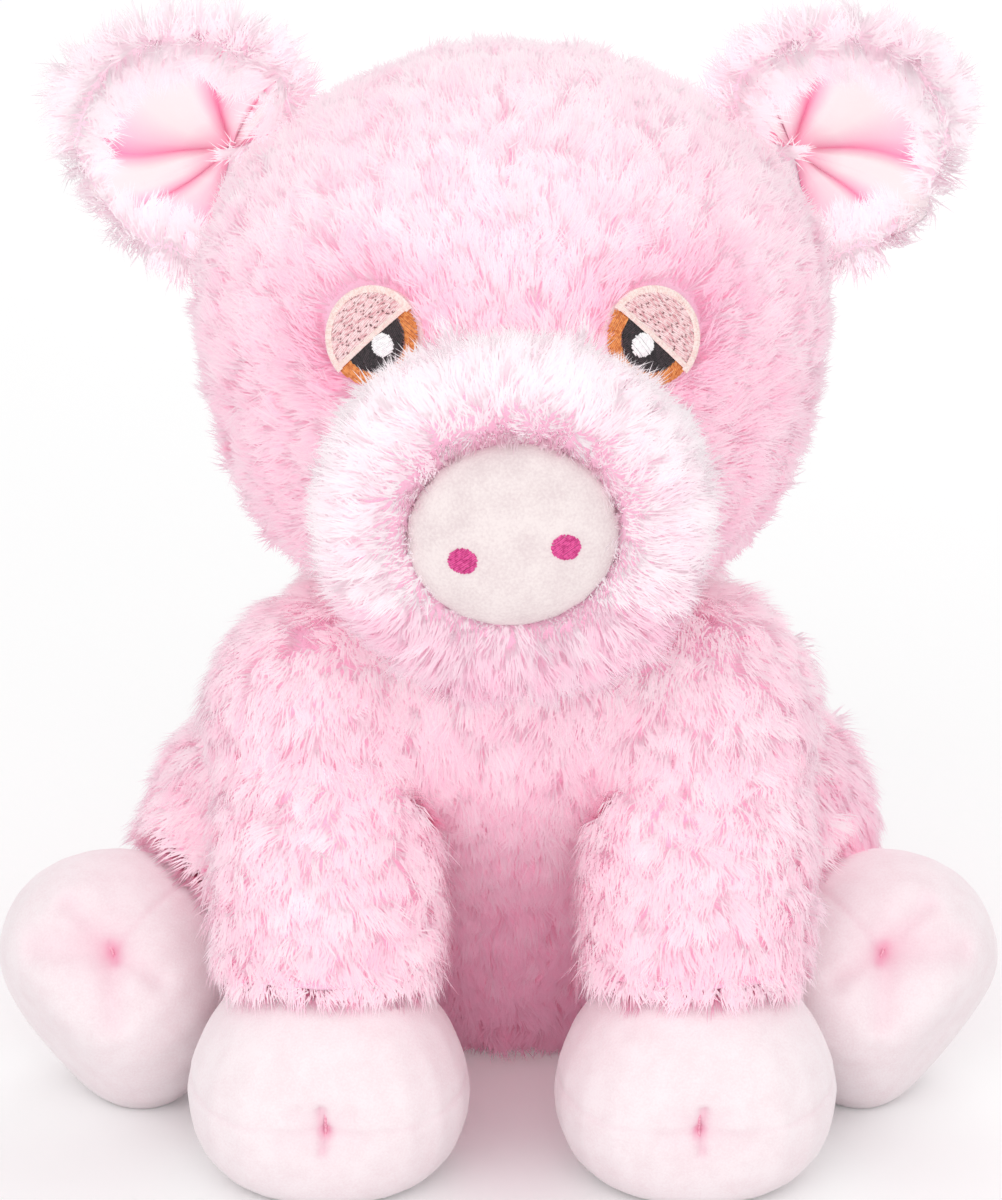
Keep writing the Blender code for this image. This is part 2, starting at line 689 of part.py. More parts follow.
def tail_root(torso):
    root, _ = surface_hit(torso, Vector((0, TORSO_DEPTH, TAIL_HEIGHT)), Vector((0, -1, 0)))
    return root


def make_tail(torso, root):
    tail = add_object("tail", tail_mesh(), PIG, Matrix.Translation(root), FUR)
    upright = Vector((0, 0, 1))
    boolean(tail, round_cutter("tail_root", root, TAIL_ROOT_RADIUS, upright), "UNION")
    cut(torso, round_cutter("tail_socket", root, TAIL_ROOT_RADIUS + JOINT_GAP, upright))
    carry(joint_empty("tail_pivot", root), tail)


def main():
    torso = make_torso()
    head = make_head()
    muzzle = make_muzzle(head)
    snout = make_snout(muzzle)
    hooves = {side: (make_front_hoof(side), make_rear_hoof(side)) for side in SIDE_NAMES}
    stitches = {side: [make_stitch(hoof, hoof_share)
                       for hoof, hoof_share in zip(hooves[side], (1, REAR_HOOF_SHARE))]
                for side in SIDE_NAMES}
    root = tail_root(torso)
    eye_places = {side: eye_place(head, side) for side in SIDE_NAMES}
    ear_places = {side: ear_place(head, side) for side in SIDE_NAMES}

    floor = floor_cutter()
    cut(torso, floor)
    make_tail(torso, root)
    neck_socket = grown(torso, HEAD_GAP)
    face = [muzzle, snout, *make_nostrils(snout)]
    for side in SIDE_NAMES:
        for hoof in hooves[side]:
            cut(hoof, floor)
        make_limbs(side, torso, hooves[side], stitches[side])
        face += make_eye(head, muzzle, side, eye_places[side])
    cut(muzzle, grown(head, SEAM_GAP), grown(snout, SEAM_GAP))
    for side in SIDE_NAMES:
        make_ear(head, side, ear_places[side])
    cut(head, neck_socket)
    neck = neck_top() - Vector((0, 0, NECK_RISE))
    carry(joint_empty("neck_pivot", neck), head, *face)


clear_scene()
PIG = new_collection("plush_pig")
CUTTERS = new_collection("cutters")
FUR = cloth("pink_plush_fur", "FBD3E6", 0.95)
MUZZLE_FUR = cloth("pale_plush_fur", "FDEAF2", 0.95)
VELOUR = cloth("cream_velour", "F8E9EA", 0.9)
NOSTRIL_THREAD = cloth("magenta_thread", "E0409A", 0.5)
LID_THREAD = cloth("lid_thread", "F9C9CC", 0.5)
IRIS_THREAD = cloth("amber_thread", "E8954F", 0.5)
PUPIL_THREAD = cloth("black_thread", "2B2228", 0.5)
WHITE_THREAD = cloth("white_thread", "FFFFFF", 0.5)
STITCH_THREAD = cloth("pink_thread", "F4B9C8", 0.5)
main()
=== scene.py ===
# Plush pig, dressed over its solid frame: pile, velour, velboa and embroidery.
# Metres, +Z up; the pig looks along -Y and "left" is the side at -X.
import math

import bmesh
import bpy
import numpy as np
from mathutils import Matrix, Vector
from mathutils.bvhtree import BVHTree
from mathutils.kdtree import KDTree


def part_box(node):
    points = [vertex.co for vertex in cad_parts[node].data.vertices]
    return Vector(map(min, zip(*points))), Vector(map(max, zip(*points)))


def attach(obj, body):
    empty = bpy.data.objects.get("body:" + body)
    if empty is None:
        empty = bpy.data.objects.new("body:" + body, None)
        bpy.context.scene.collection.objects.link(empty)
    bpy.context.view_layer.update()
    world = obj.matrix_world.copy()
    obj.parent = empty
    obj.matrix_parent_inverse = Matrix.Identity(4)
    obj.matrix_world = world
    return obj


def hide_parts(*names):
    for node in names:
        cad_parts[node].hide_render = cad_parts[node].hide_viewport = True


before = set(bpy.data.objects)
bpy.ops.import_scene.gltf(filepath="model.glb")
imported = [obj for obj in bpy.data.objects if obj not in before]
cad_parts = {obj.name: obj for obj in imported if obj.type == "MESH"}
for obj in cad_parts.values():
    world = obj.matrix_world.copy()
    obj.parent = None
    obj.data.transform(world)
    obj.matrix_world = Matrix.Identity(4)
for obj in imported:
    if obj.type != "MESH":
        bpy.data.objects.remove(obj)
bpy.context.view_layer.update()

mm = 0.001
sideNames = {-1: "left", 1: "right"}


# camera and light

camera = {
    "aim": (-2.3, -48, 110),  # mm
    "distance": 1200,  # mm
    "elevation": 18,  # degrees
    "frameHeight": 252,  # mm of the object that fit the picture's height
}
light = {
    "world": 0.8,
    "size": 1.1,  # metres
    "lamps": (  # name, place and aim in metres, watts
        ("front softbox", (-0.25, -1.25, 0.75), (0, -0.04, 0.12), 3.6),
        ("low softbox", (0.1, -1.2, 0.22), (0, -0.04, 0.08), 2.6),
        ("back softbox", (0.4, 1.1, 0.9), (0, -0.04, 0.12), 3.5),
    ),
    "floorShade": 0.9,
    "floorLift": 0.12,  # keeps the paper white to the camera
}


def placed(name, data):
    obj = bpy.data.objects.new(name, data)
    bpy.context.scene.collection.objects.link(obj)
    return obj


def placeCamera():
    data = bpy.data.cameras.new("camera")
    data.sensor_fit = "VERTICAL"
    data.sensor_height = 36
    data.lens = data.sensor_height * camera["distance"] / camera["frameHeight"]
    data.clip_start = 0.05
    rise = math.radians(camera["elevation"])
    back = Vector((0, -math.cos(rise), math.sin(rise)))
    obj = placed("camera", data)
    obj.location = (Vector(camera["aim"]) + back * camera["distance"]) * mm
    obj.rotation_euler = (math.radians(90 - camera["elevation"]), 0, 0)
    bpy.context.scene.camera = obj


def addLamp(name, place, aim, power):
    data = bpy.data.lights.new(name, "AREA")
    data.energy = power
    data.size = light["size"]
    obj = placed(name, data)
    obj.location = place
    obj.rotation_euler = (Vector(aim) - Vector(place)).to_track_quat("-Z", "Y").to_euler()


def addNode(tree, kind, settings=None, links=None):
    # a setting or link names an input or its number; a setting that is no input is a property
    node = tree.nodes.new(kind)
    for key, value in (settings or {}).items():
        if isinstance(key, int) or key in node.inputs:
            node.inputs[key].default_value = value
        else:
            setattr(node, key, value)
    for key, socket in (links or {}).items():
        tree.links.new(socket, node.inputs[key])
    return node


def toLinear(hexColour):
    values = (int(hexColour[i:i + 2], 16) / 255 for i in (1, 3, 5))
    return (*[v / 12.92 if v <= 0.04045 else ((v + 0.055) / 1.055) ** 2.4 for v in values], 1)


def lightStudio():
    bpy.context.scene.view_settings.view_transform = "Standard"
    world = bpy.data.worlds.new("studio")
    bpy.context.scene.world = world
    world.use_nodes = True
    tree = world.node_tree
    tree.nodes.clear()
    path = addNode(tree, "ShaderNodeLightPath")
    seen = addNode(tree, "ShaderNodeMath", {"operation": "MAXIMUM"},
                   {0: path.outputs["Is Camera Ray"], 1: path.outputs["Is Glossy Ray"]})
    lit = addNode(tree, "ShaderNodeBackground", {"Color": (1, 1, 1, 1), "Strength": light["world"]})
    bare = addNode(tree, "ShaderNodeBackground", {"Color": (1, 1, 1, 1), "Strength": 1})
    mixed = addNode(tree, "ShaderNodeMixShader", None,
                    {0: seen.outputs[0], 1: lit.outputs[0], 2: bare.outputs[0]})
    addNode(tree, "ShaderNodeOutputWorld", None, {"Surface": mixed.outputs[0]})
    for lamp in light["lamps"]:
        addLamp(*lamp)


def layFloor():
    # matt white paper, a little brighter to the camera alone
    bm = bmesh.new()
    bmesh.ops.create_grid(bm, x_segments=1, y_segments=1, size=3)
    floor = newObject("studio_floor", bm)
    material, tree, _ = newMaterial("white paper floor")
    tree.nodes.clear()
    path = addNode(tree, "ShaderNodeLightPath")
    paper = addNode(tree, "ShaderNodeBsdfDiffuse", {"Color": (*[light["floorShade"]] * 3, 1)})
    glow = addNode(tree, "ShaderNodeEmission", {"Color": (1, 1, 1, 1), "Strength": light["floorLift"]})
    both = addNode(tree, "ShaderNodeAddShader", None, {0: paper.outputs[0], 1: glow.outputs[0]})
    mixed = addNode(tree, "ShaderNodeMixShader", None,
                    {0: path.outputs["Is Camera Ray"], 1: paper.outputs[0], 2: both.outputs[0]})
    addNode(tree, "ShaderNodeOutputMaterial", None, {"Surface": mixed.outputs[0]})
    floor.data.materials.append(material)


def newObject(name, bm, material=None):
    mesh = bpy.data.meshes.new(name)
    bm.to_mesh(mesh)
    bm.free()
    mesh.shade_smooth()
    if material:
        mesh.materials.append(material)
    return placed(name, mesh)


def faceOutwards(bm):
    bmesh.ops.recalc_face_normals(bm, faces=bm.faces)
    if bm.calc_volume(signed=True) < 0:
        bmesh.ops.reverse_faces(bm, faces=bm.faces)


def treeOf(obj):
    bm = bmesh.new()
    bm.from_mesh(obj.data)
    tree = BVHTree.FromBMesh(bm)
    bm.free()
    return tree


def applied(obj):
    # the object's modifiers become part of its mesh
    ready = obj.evaluated_get(bpy.context.evaluated_depsgraph_get())
    mesh = bpy.data.meshes.new_from_object(ready)
    old = obj.data
    obj.modifiers.clear()
    obj.data = mesh
    mesh.name = obj.name
    bpy.data.meshes.remove(old)
    return obj


# materials

def newMaterial(name):
    material = bpy.data.materials.new(name)
    material.use_nodes = True
    return material, material.node_tree, material.node_tree.nodes["Principled BSDF"]


def setSheen(shader, roughness, specular, sheen, sheenRoughness=0.5):
    shader.inputs["Roughness"].default_value = roughness
    shader.inputs["Specular IOR Level"].default_value = specular
    shader.inputs["Sheen Weight"].default_value = sheen
    shader.inputs["Sheen Roughness"].default_value = sheenRoughness


def addRamp(tree, socket, *stops):
    # colour ramp of (position, linear colour) stops, its two ends first
    ramp = addNode(tree, "ShaderNodeValToRGB", None, {0: socket})
    for index, (position, colour) in enumerate(stops):
        stop = ramp.color_ramp.elements[index] if index < 2 else ramp.color_ramp.elements.new(position)
        stop.position = position
        stop.color = colour
    return ramp


def addBump(tree, strength, height):
    raised = addNode(tree, "ShaderNodeBump", {"Strength": strength, "Distance": 0.0004}, {"Height": height})
    return raised.outputs[0]


def addNoise(tree, scale, detail):
    place = addNode(tree, "ShaderNodeTexCoord")
    return addNode(tree, "ShaderNodeTexNoise", {"Scale": float(scale), "Detail": float(detail)},
                   {"Vector": place.outputs["Object"]})


def furMaterial(name, root, middle, tip):
    # dyed polyester pile, its roots painted pinker as shade between the strands, its tips pale and a little
    # silky its colour follows the strand's own map: V along the strand, U from pinker to paler strands, by
    # random tone and painted shade
    material, tree, shader = newMaterial(name)
    strand = addNode(tree, "ShaderNodeUVMap", {"uv_map": "OFBake"})
    parts = addNode(tree, "ShaderNodeSeparateXYZ", None, {0: strand.outputs[0]})
    ramp = addRamp(tree, parts.outputs["Y"], (0, toLinear(root)), (1, toLinear(tip)), (0.5, toLinear(middle)))
    pinker = addNode(tree, "ShaderNodeMix", {"data_type": "RGBA", "blend_type": "MULTIPLY"},
                     {6: ramp.outputs[0]})
    pinker.inputs[7].default_value = toLinear(pileToneAndShadeColour)
    fade = addNode(tree, "ShaderNodeMath", {"operation": "SUBTRACT", 0: 1.0}, {1: parts.outputs["X"]})
    tree.links.new(fade.outputs[0], pinker.inputs[0])
    tree.links.new(pinker.outputs[2], shader.inputs["Base Color"])
    setSheen(shader, 0.75, 0.25, 0.3)
    # a strand's back is lit through it, so it is as bright as its front
    through = addNode(tree, "ShaderNodeBsdfTranslucent", None, {"Color": pinker.outputs[2]})
    geometry = addNode(tree, "ShaderNodeNewGeometry")
    both = addNode(tree, "ShaderNodeMixShader", None,
                   {0: geometry.outputs["Backfacing"], 1: shader.outputs[0], 2: through.outputs[0]})
    tree.links.new(both.outputs[0], tree.nodes["Material Output"].inputs["Surface"])
    return material


def clothMaterial(name, base, deep, grainScale, drawn=None):
    # short-pile fabric: the nap's light and dark patches, and a fine grain that the bump raises
    # the mesh's "drawn" attribute says where thread draws it in, and painted pink shade fills the colour
    # there
    material, tree, shader = newMaterial(name)
    patches = addNoise(tree, grainScale / 12, 3)
    grain = addNoise(tree, grainScale, 2)
    both = addNode(tree, "ShaderNodeMath", {"operation": "ADD"}, {0: patches.outputs[0], 1: grain.outputs[0]})
    mean = addNode(tree, "ShaderNodeMath", {"operation": "MULTIPLY", 1: 0.5}, {0: both.outputs[0]})
    ramp = addRamp(tree, mean.outputs[0], (0.35, toLinear(deep)), (0.6, toLinear(base)))
    tree.links.new(ramp.outputs[0], shader.inputs["Base Color"])
    if drawn:
        # painted shade: pink mixed in where the surface is drawn in
        depth = addNode(tree, "ShaderNodeAttribute", {"attribute_name": "drawn"})
        creaseShade = addNode(tree, "ShaderNodeMix", {"data_type": "RGBA"},
                       {0: depth.outputs["Fac"], 6: ramp.outputs[0]})
        creaseShade.inputs[7].default_value = toLinear(drawn)
        tree.links.new(creaseShade.outputs[2], shader.inputs["Base Color"])
    tree.links.new(addBump(tree, 0.1, grain.outputs[0]), shader.inputs["Normal"])
    setSheen(shader, 0.85, 0.2, 0.4, 0.4)
    return material


def creasedVelour(name, crease, side, crest):
    # velour crumpled into folds, with painted shade: deep pink in the creases and near the pinch, pale on the
    # crests
    # its colour follows the lining's own map: U from crease to crest, V away from the pinch
    material, tree, shader = newMaterial(name)
    cloth = addNode(tree, "ShaderNodeUVMap", {"uv_map": "OFBake"})
    parts = addNode(tree, "ShaderNodeSeparateXYZ", None, {0: cloth.outputs[0]})
    fold = addRamp(tree, parts.outputs["X"], (0, toLinear(crease)), (0.85, toLinear(crest)),
                   (0.38, toLinear(side)))
    # painted shade: pinker near the pinch, where the folds gather
    pinch = addRamp(tree, parts.outputs["Y"], (0.04, toLinear(side)), (0.34, (1, 1, 1, 1)))
    both = addNode(tree, "ShaderNodeMix", {"data_type": "RGBA", "blend_type": "MULTIPLY", 0: 1.0},
                   {6: fold.outputs[0], 7: pinch.outputs[0]})
    grain = addNoise(tree, 2600, 2)
    tree.links.new(both.outputs[2], shader.inputs["Base Color"])
    tree.links.new(addBump(tree, 0.12, grain.outputs[0]), shader.inputs["Normal"])
    setSheen(shader, 0.85, 0.2, 0.4, 0.4)
    return material


def threadMaterial(name, colour, dark):
    # rayon embroidery thread: filaments with a silky, streaky shine along each stitch
    material, tree, shader = newMaterial(name)
    ramp = addRamp(tree, addNoise(tree, 1600, 1).outputs[0], (0.35, toLinear(dark)), (0.6, toLinear(colour)))
    tree.links.new(ramp.outputs[0], shader.inputs["Base Color"])
    setSheen(shader, 0.42, 0.4, 0.2)
    return material


placeCamera()
lightStudio()
layFloor()
print("camera, lamps and floor are set")

pileToneAndShadeColour = "#FAC8DE"  # multiplies the pinkest strands, pink from random tone and painted shade
bodyPile = furMaterial("pink polyester plush pile", "#FCDAE7", "#FEEBF2", "#FFF6F9")
palePile = furMaterial("pale polyester plush pile", "#FDE9F1", "#FDF0F5", "#FEF7FA")
skinCloth = clothMaterial("knitted pile backing", "#FBCDE2", "#FAC2DB", 2500)
paleSkinCloth = clothMaterial("pale knitted pile backing", "#FDE4EF", "#FBD8E7", 2500)
# the hooves' drawn-in colour is painted shade in their creases
velboa = clothMaterial("hoof velboa", "#FBF0F3", "#F6E6EA", 2200, drawn="#F3AFC6")
velour = clothMaterial("snout velour", "#F0E4E3", "#E2D2D3", 1800)
# the lining's crease colour is painted shade
liningVelour = creasedVelour("ear lining velour", "#F58DB6", "#F9CBDB", "#F9EAEC")
lidThread = threadMaterial("lid rayon thread", "#F9E0E1", "#F3C9CC")
lidDarkThread = threadMaterial("short stitch rayon thread", "#E9B5BA", "#E0A0A8")
borderThread = threadMaterial("lid border rayon thread", "#FCEAE4", "#F6D6D0")
amberThread = threadMaterial("amber rayon thread", "#EE9C58", "#CC6F30")
blackThread = threadMaterial("black rayon thread", "#3A2E33", "#1B1418")
whiteThread = threadMaterial("white rayon thread", "#FFFFFF", "#F3F0F2")
tieThread = threadMaterial("twisted polyester tie thread", "#F7B9CB", "#EC93B0")
magentaThread = threadMaterial("magenta rayon thread", "#E8559F", "#C42E7C")


# skins under the pile

skinForm = {
    "voxel": 3.0,  # mm
    "smoothing": 6,
}


def copyForm(node, balls):
    # loose copy of a solid's form, with its joints' hollows filled by balls of (place, radius) in mm
    bm = bmesh.new()
    bm.from_mesh(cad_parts[node].data)
    bmesh.ops.remove_doubles(bm, verts=bm.verts, dist=1e-6)
    for place, radius in balls:
        bmesh.ops.create_icosphere(bm, subdivisions=3, radius=radius * mm,
                                   matrix=Matrix.Translation(Vector(place) * mm))
    return bm


def makeSkin(name, node, inset, balls=(), material=skinCloth, voxel=skinForm["voxel"],
             smoothing=skinForm["smoothing"]):
    # even, closed skin that lies inset mm under the solid's form
    obj = newObject(name, copyForm(node, balls), material)
    remesh = obj.modifiers.new("even", "REMESH")
    remesh.mode = "VOXEL"
    remesh.voxel_size = voxel * mm
    remesh.use_smooth_shade = True
    soft = obj.modifiers.new("soft", "SMOOTH")
    soft.iterations = smoothing
    sink = obj.modifiers.new("sink", "DISPLACE")
    sink.mid_level = 0
    sink.strength = -inset * mm
    applied(obj)
    if not obj.data.materials:
        obj.data.materials.append(material)
    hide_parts(node)
    return obj


def mirrored(place, side):
    return (side * place[0], *place[1:])


def mirroredMove(move, side):
    centre, reach, push = move
    return mirrored(centre, side), reach, mirrored(push, side)


def sculpt(obj, moves):
    # soft moves of (centre mm, radius mm, push mm as a vector), each fading to its radius
    count = len(obj.data.vertices)
    places = np.empty(count * 3, np.float32)
    obj.data.vertices.foreach_get("co", places)
    places = places.reshape(-1, 3)
    for centre, radius, push in moves:
        near = np.linalg.norm(places - np.array(centre) * mm, axis=1) / (radius * mm)
        weight = np.clip(1 - near, 0, 1)
        weight = weight * weight * (3 - 2 * weight)
        places += weight[:, None] * np.array(push) * mm
    obj.data.vertices.foreach_set("co", places.ravel())
    obj.data.update()


# pile

def unit(vectors):
    return vectors / np.maximum(np.linalg.norm(vectors, axis=1, keepdims=True), 1e-9)


def skinTriangles(obj):
    mesh = obj.data
    mesh.calc_loop_triangles()
    places = np.empty(len(mesh.vertices) * 3, np.float32)
    normals = np.empty(len(mesh.vertices) * 3, np.float32)
    corners = np.empty(len(mesh.loop_triangles) * 3, np.int32)
    mesh.vertices.foreach_get("co", places)
    mesh.vertices.foreach_get("normal", normals)
    mesh.loop_triangles.foreach_get("vertices", corners)
    return places.reshape(-1, 3), normals.reshape(-1, 3), corners.reshape(-1, 3)


def scatterRoots(obj, perSquareMm, rng):
    places, normals, corners = skinTriangles(obj)
    a, b, c = (places[corners[:, i]] for i in range(3))
    areas = np.linalg.norm(np.cross(b - a, c - a), axis=1) / 2
    count = int(areas.sum() / mm ** 2 * perSquareMm)
    chosen = rng.choice(len(areas), count, p=areas / areas.sum())
    r1, r2 = np.sqrt(rng.random(count)), rng.random(count)
    shares = np.stack((1 - r1, r1 * (1 - r2), r1 * r2), axis=1)
    picked = corners[chosen]
    roots = sum(shares[:, i:i + 1] * places[picked[:, i]] for i in range(3))
    outward = unit(sum(shares[:, i:i + 1] * normals[picked[:, i]] for i in range(3)))
    return roots, outward


def tuftOf(roots, perTuft, rng):
    # index of the nearest of some randomly chosen roots, for each root
    centres = rng.choice(len(roots), max(1, len(roots) // perTuft), replace=False)
    tree = KDTree(len(centres))
    for index, centre in enumerate(centres):
        tree.insert(roots[centre], index)
    tree.balance()
    nearest = np.fromiter((tree.find(root)[1] for root in roots), np.int32, len(roots))
    return centres, nearest


pileBase = {
    "perSquareMm": 3.2,
    "perTuft": 34,
    "length": 7.8,  # mm
    "lengths": (0.75, 1.15),  # shares of it, from strand to strand
    "tuftLength": 0.13,  # spread from tuft to tuft
    "lean": 61,  # degrees from the skin's normal
    "leans": (4, 78),  # least and most
    "bends": (0.55, 1.25),  # shares of the lean below and above a strand's middle
    "tuftTurn": 20,  # spreads of direction, in degrees
    "tuftLift": 5,
    "strandTurn": 18,
    "strandLift": 6,
    "gather": 0.26,  # how far the tips of a tuft close up
    "gathers": (0.6, 1.1),
    "middleGather": 0.45,
    "width": 0.33,  # mm
    "widths": (0.7, 1.3),
    "rootWidth": 0.8,
    "twist": 0.2,
    "aboveFloor": 0.3,  # mm
    "softNormals": 0.97,  # how far a strand is lit as the skin under it is
    "glow": 0.2,  # how far fine strands that stand against the light catch it
    "tone": 0.64,  # from pinker (0) to paler (1)
    # painted light: how much paler the strands are where the skin faces up
    "paintedTopLight": 0.28,
    "tuftTone": 0.08,
    "strandTone": 0.05,
    "mostStrands": 60000,  # in one piece
}


def bendStrands(roots, outward, pile, flow, lengthAt, leanAt, rng):
    # five points of each strand, its lighting normal and its tuft's tone
    count = len(roots)
    combed = flow(roots, outward)
    combed = unit(combed - outward * np.sum(combed * outward, axis=1, keepdims=True))
    across = np.cross(outward, combed)
    centres, tuft = tuftOf(roots, pile["perTuft"], rng)
    tuftTurn = rng.normal(0, pile["tuftTurn"], len(centres))[tuft]
    tuftLift = rng.normal(0, pile["tuftLift"], len(centres))[tuft]
    tuftLength = rng.normal(1, pile["tuftLength"], len(centres))[tuft]
    turn = np.radians(tuftTurn + rng.normal(0, pile["strandTurn"], count))
    leans = pile["lean"] * (leanAt(roots) if leanAt else 1)
    lean = np.radians(np.clip(leans + tuftLift + rng.normal(0, pile["strandLift"], count), *pile["leans"]))
    length = pile["length"] * mm * tuftLength * rng.uniform(*pile["lengths"], count)
    if lengthAt is not None:
        length = length * lengthAt(roots)
    ahead = combed * np.cos(turn)[:, None] + across * np.sin(turn)[:, None]
    lowLean, highLean = (lean * bend for bend in pile["bends"])
    low = outward * np.cos(lowLean)[:, None] + ahead * np.sin(lowLean)[:, None]
    high = outward * np.cos(highLean)[:, None] + ahead * np.sin(highLean)[:, None]
    middle = roots + low * (length * 0.5)[:, None]
    tip = middle + high * (length * 0.5)[:, None]
    gather = pile["gather"] * rng.uniform(*pile["gathers"], count)[:, None]
    tip += (tip[centres][tuft] - tip) * gather
    middle += (middle[centres][tuft] - middle) * gather * pile["middleGather"]
    for row in (roots, middle, tip):
        row[:, 2] = np.maximum(row[:, 2], pile["aboveFloor"] * mm)
    upStrand = unit(tip - roots)
    facing = rng.normal(0, pile["twist"], count)[:, None]
    side = unit(np.cross(upStrand, outward) + np.cross(upStrand, np.cross(upStrand, outward)) * facing)
    flat = unit(np.cross(side, upStrand))
    # strands are lit a little as if they faced the front, apart from those at the back
    glow = pile["glow"] * np.clip(1.9 - 2.5 * outward[:, 1:2], 0, 1)
    towards = outward - glow * np.array((0, 1, 0))
    turned = np.sign(np.sum(flat * towards, axis=1, keepdims=True))
    shading = unit(flat * turned * (1 - pile["softNormals"]) + towards * pile["softNormals"])
    width = side * turned * (pile["width"] * mm / 2 * rng.uniform(*pile["widths"], count))[:, None]
    rootWidth = width * pile["rootWidth"]
    points = np.stack((roots - rootWidth, roots + rootWidth, middle + width, middle - width, tip), axis=1)
    return points, shading, rng.normal(0, pile["tuftTone"], len(centres))[tuft]


def growPile(name, skin, pile, flow, body, material, seed, keep=None, lengthAt=None, leanAt=None,
             paintedShadeAt=None):
    # flow gives each root's combing direction, keep says which roots grow, lengthAt and leanAt scale the
    # length and lean from place to place, and paintedShadeAt paints shade and light into strands, pinker or
    # paler
    rng = np.random.default_rng(seed)
    roots, outward = scatterRoots(skin, pile["perSquareMm"], rng)
    if keep is not None:
        grows = keep(roots, outward)
        roots, outward = roots[grows], outward[grows]
    count = len(roots)
    points, shading, tuftTone = bendStrands(roots, outward, pile, flow, lengthAt, leanAt, rng)
    # painted light: strands whose skin faces up are paler
    tone = pile["tone"] + pile["paintedTopLight"] * outward[:, 2] + tuftTone
    tone += rng.normal(0, pile["strandTone"], count)
    if paintedShadeAt is not None:
        tone += paintedShadeAt(roots)
    tone = np.clip(tone, 0.02, 0.98)
    shares = math.ceil(count / pile["mostStrands"])
    for index in range(shares):
        part = slice(index, None, shares)
        obj = buildStrands(f"{name}_{index + 1}", points[part], shading[part], tone[part])
        obj.data.materials.append(material)
        obj.visible_shadow = False  # light passes through fine strands, so they throw no hard shadow
        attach(obj, body)
    print(name, count, "strands")


def buildStrands(name, points, shading, tone):
    # each strand is a quad and a triangle that face outwards, on a colour map that all strands share
    count = len(points)
    mesh = bpy.data.meshes.new(name)
    mesh.vertices.add(count * 5)
    mesh.vertices.foreach_set("co", points.astype(np.float32).ravel())
    starts = np.arange(count)[:, None] * 5
    loops = (starts + np.array((0, 1, 2, 3, 3, 2, 4))).astype(np.int32)
    mesh.loops.add(count * 7)
    mesh.loops.foreach_set("vertex_index", loops.ravel())
    mesh.polygons.add(count * 2)
    firsts = np.arange(count)[:, None] * 7 + np.array((0, 4))
    mesh.polygons.foreach_set("loop_start", firsts.astype(np.int32).ravel())
    mesh.update(calc_edges=True)
    mesh.shade_smooth()
    shade = tone[:, None]
    across = np.array((-1, 1, 1, -1, -1, 1, 0)) * 0.02
    up = np.array((0, 0, 0.5, 0.5, 0.5, 0.5, 1)) * 0.98 + 0.01
    cells = np.stack(np.broadcast_arrays(np.clip(shade + across, 0, 1), up), axis=2)
    mapped = mesh.uv_layers.new(name="OFBake")
    mapped.data.foreach_set("uv", cells.astype(np.float32).ravel())
    mesh.normals_split_custom_set_from_vertices(np.repeat(shading, 5, axis=0).astype(np.float32))
    return placed(name, mesh)


def keepAll(*rules):
    def both(roots, outward):
        grows = np.ones(len(roots), bool)
        for rule in rules:
            grows &= rule(roots, outward)
        return grows
    return both


def outsideOf(skin, depth):
    # leaves out the roots that lie deeper than depth mm inside another skin
    tree = treeOf(skin)
    farthest = 40 * mm

    def rule(roots, outward):
        out = np.ones(len(roots), bool)
        for index, root in enumerate(roots):
            spot, normal, _, distance = tree.find_nearest(root, farthest)
            if spot is not None and (Vector(root) - spot).dot(normal) < 0 and distance > depth * mm:
                out[index] = False
        return out
    return rule


def awayFrom(centre):
    spot = np.array(centre) * mm
    return lambda roots, outward: roots - spot


def along(direction):
    heading = np.array(direction, float)
    return lambda roots, outward: np.broadcast_to(heading, roots.shape)


# threads

stitch = {
    "step": 0.25,  # mm between the points of a row
    "jitter": 0.04,
    "wobble": 0.06,
    "dip": 0.7,  # share of its thickness by which a thread's ends go into the cloth
    "dome": 75,  # mm, radius of the ground under an embroidered patch
}


def domed(point, place, lift):
    # a point of a flat patch, in mm, laid on the domed ground under the patch
    u, v = point
    return place @ (Vector((u, v, lift - (u * u + v * v) / (2 * stitch["dome"]))) * mm)


def stitchRows(inside, angle, pitch, reach, rng, longest=None):
    # rows of stitches at an angle that fill the area where inside(u, v) holds, in mm
    ahead = Vector((math.cos(angle), math.sin(angle)))
    aside = Vector((-ahead.y, ahead.x))
    rows = []
    steps = int(2 * reach / pitch)
    for index in range(steps + 1):
        offset = -reach + index * pitch + rng.uniform(-stitch["jitter"], stitch["jitter"])
        run = []
        for t in np.arange(-reach, reach, stitch["step"]):
            spot = ahead * float(t) + aside * float(offset)
            if inside(spot.x, spot.y):
                run.append(spot)
                continue
            if len(run) > 1:
                rows.append(run)
            run = []
        if len(run) > 1:
            rows.append(run)
    if longest is None:
        return rows
    pieces = []
    most = int(longest / stitch["step"])
    for run in rows:
        start = -int(rng.integers(0, most))
        while start < len(run):
            piece = run[max(start, 0):start + most]
            if len(piece) > 2:
                pieces.append(piece)
            start += most + 1
    return pieces


def layThreads(name, lines, thickness, roundness, material):
    # one closed tube along each line of points, in metres
    curve = bpy.data.curves.new(name, "CURVE")
    curve.dimensions = "3D"
    curve.bevel_depth = thickness / 2 * mm
    curve.bevel_resolution = roundness
    curve.use_fill_caps = True
    for line in lines:
        spline = curve.splines.new("POLY")
        spline.points.add(len(line) - 1)
        for index, point in enumerate(line):
            spline.points[index].co = (*point, 1)
    guide = placed(f"{name}_guide", curve)
    mesh = bpy.data.meshes.new_from_object(guide.evaluated_get(bpy.context.evaluated_depsgraph_get()))
    bpy.data.objects.remove(guide)
    mesh.name = name
    mesh.materials.clear()
    mesh.materials.append(material)
    mesh.shade_smooth()
    return placed(name, mesh)


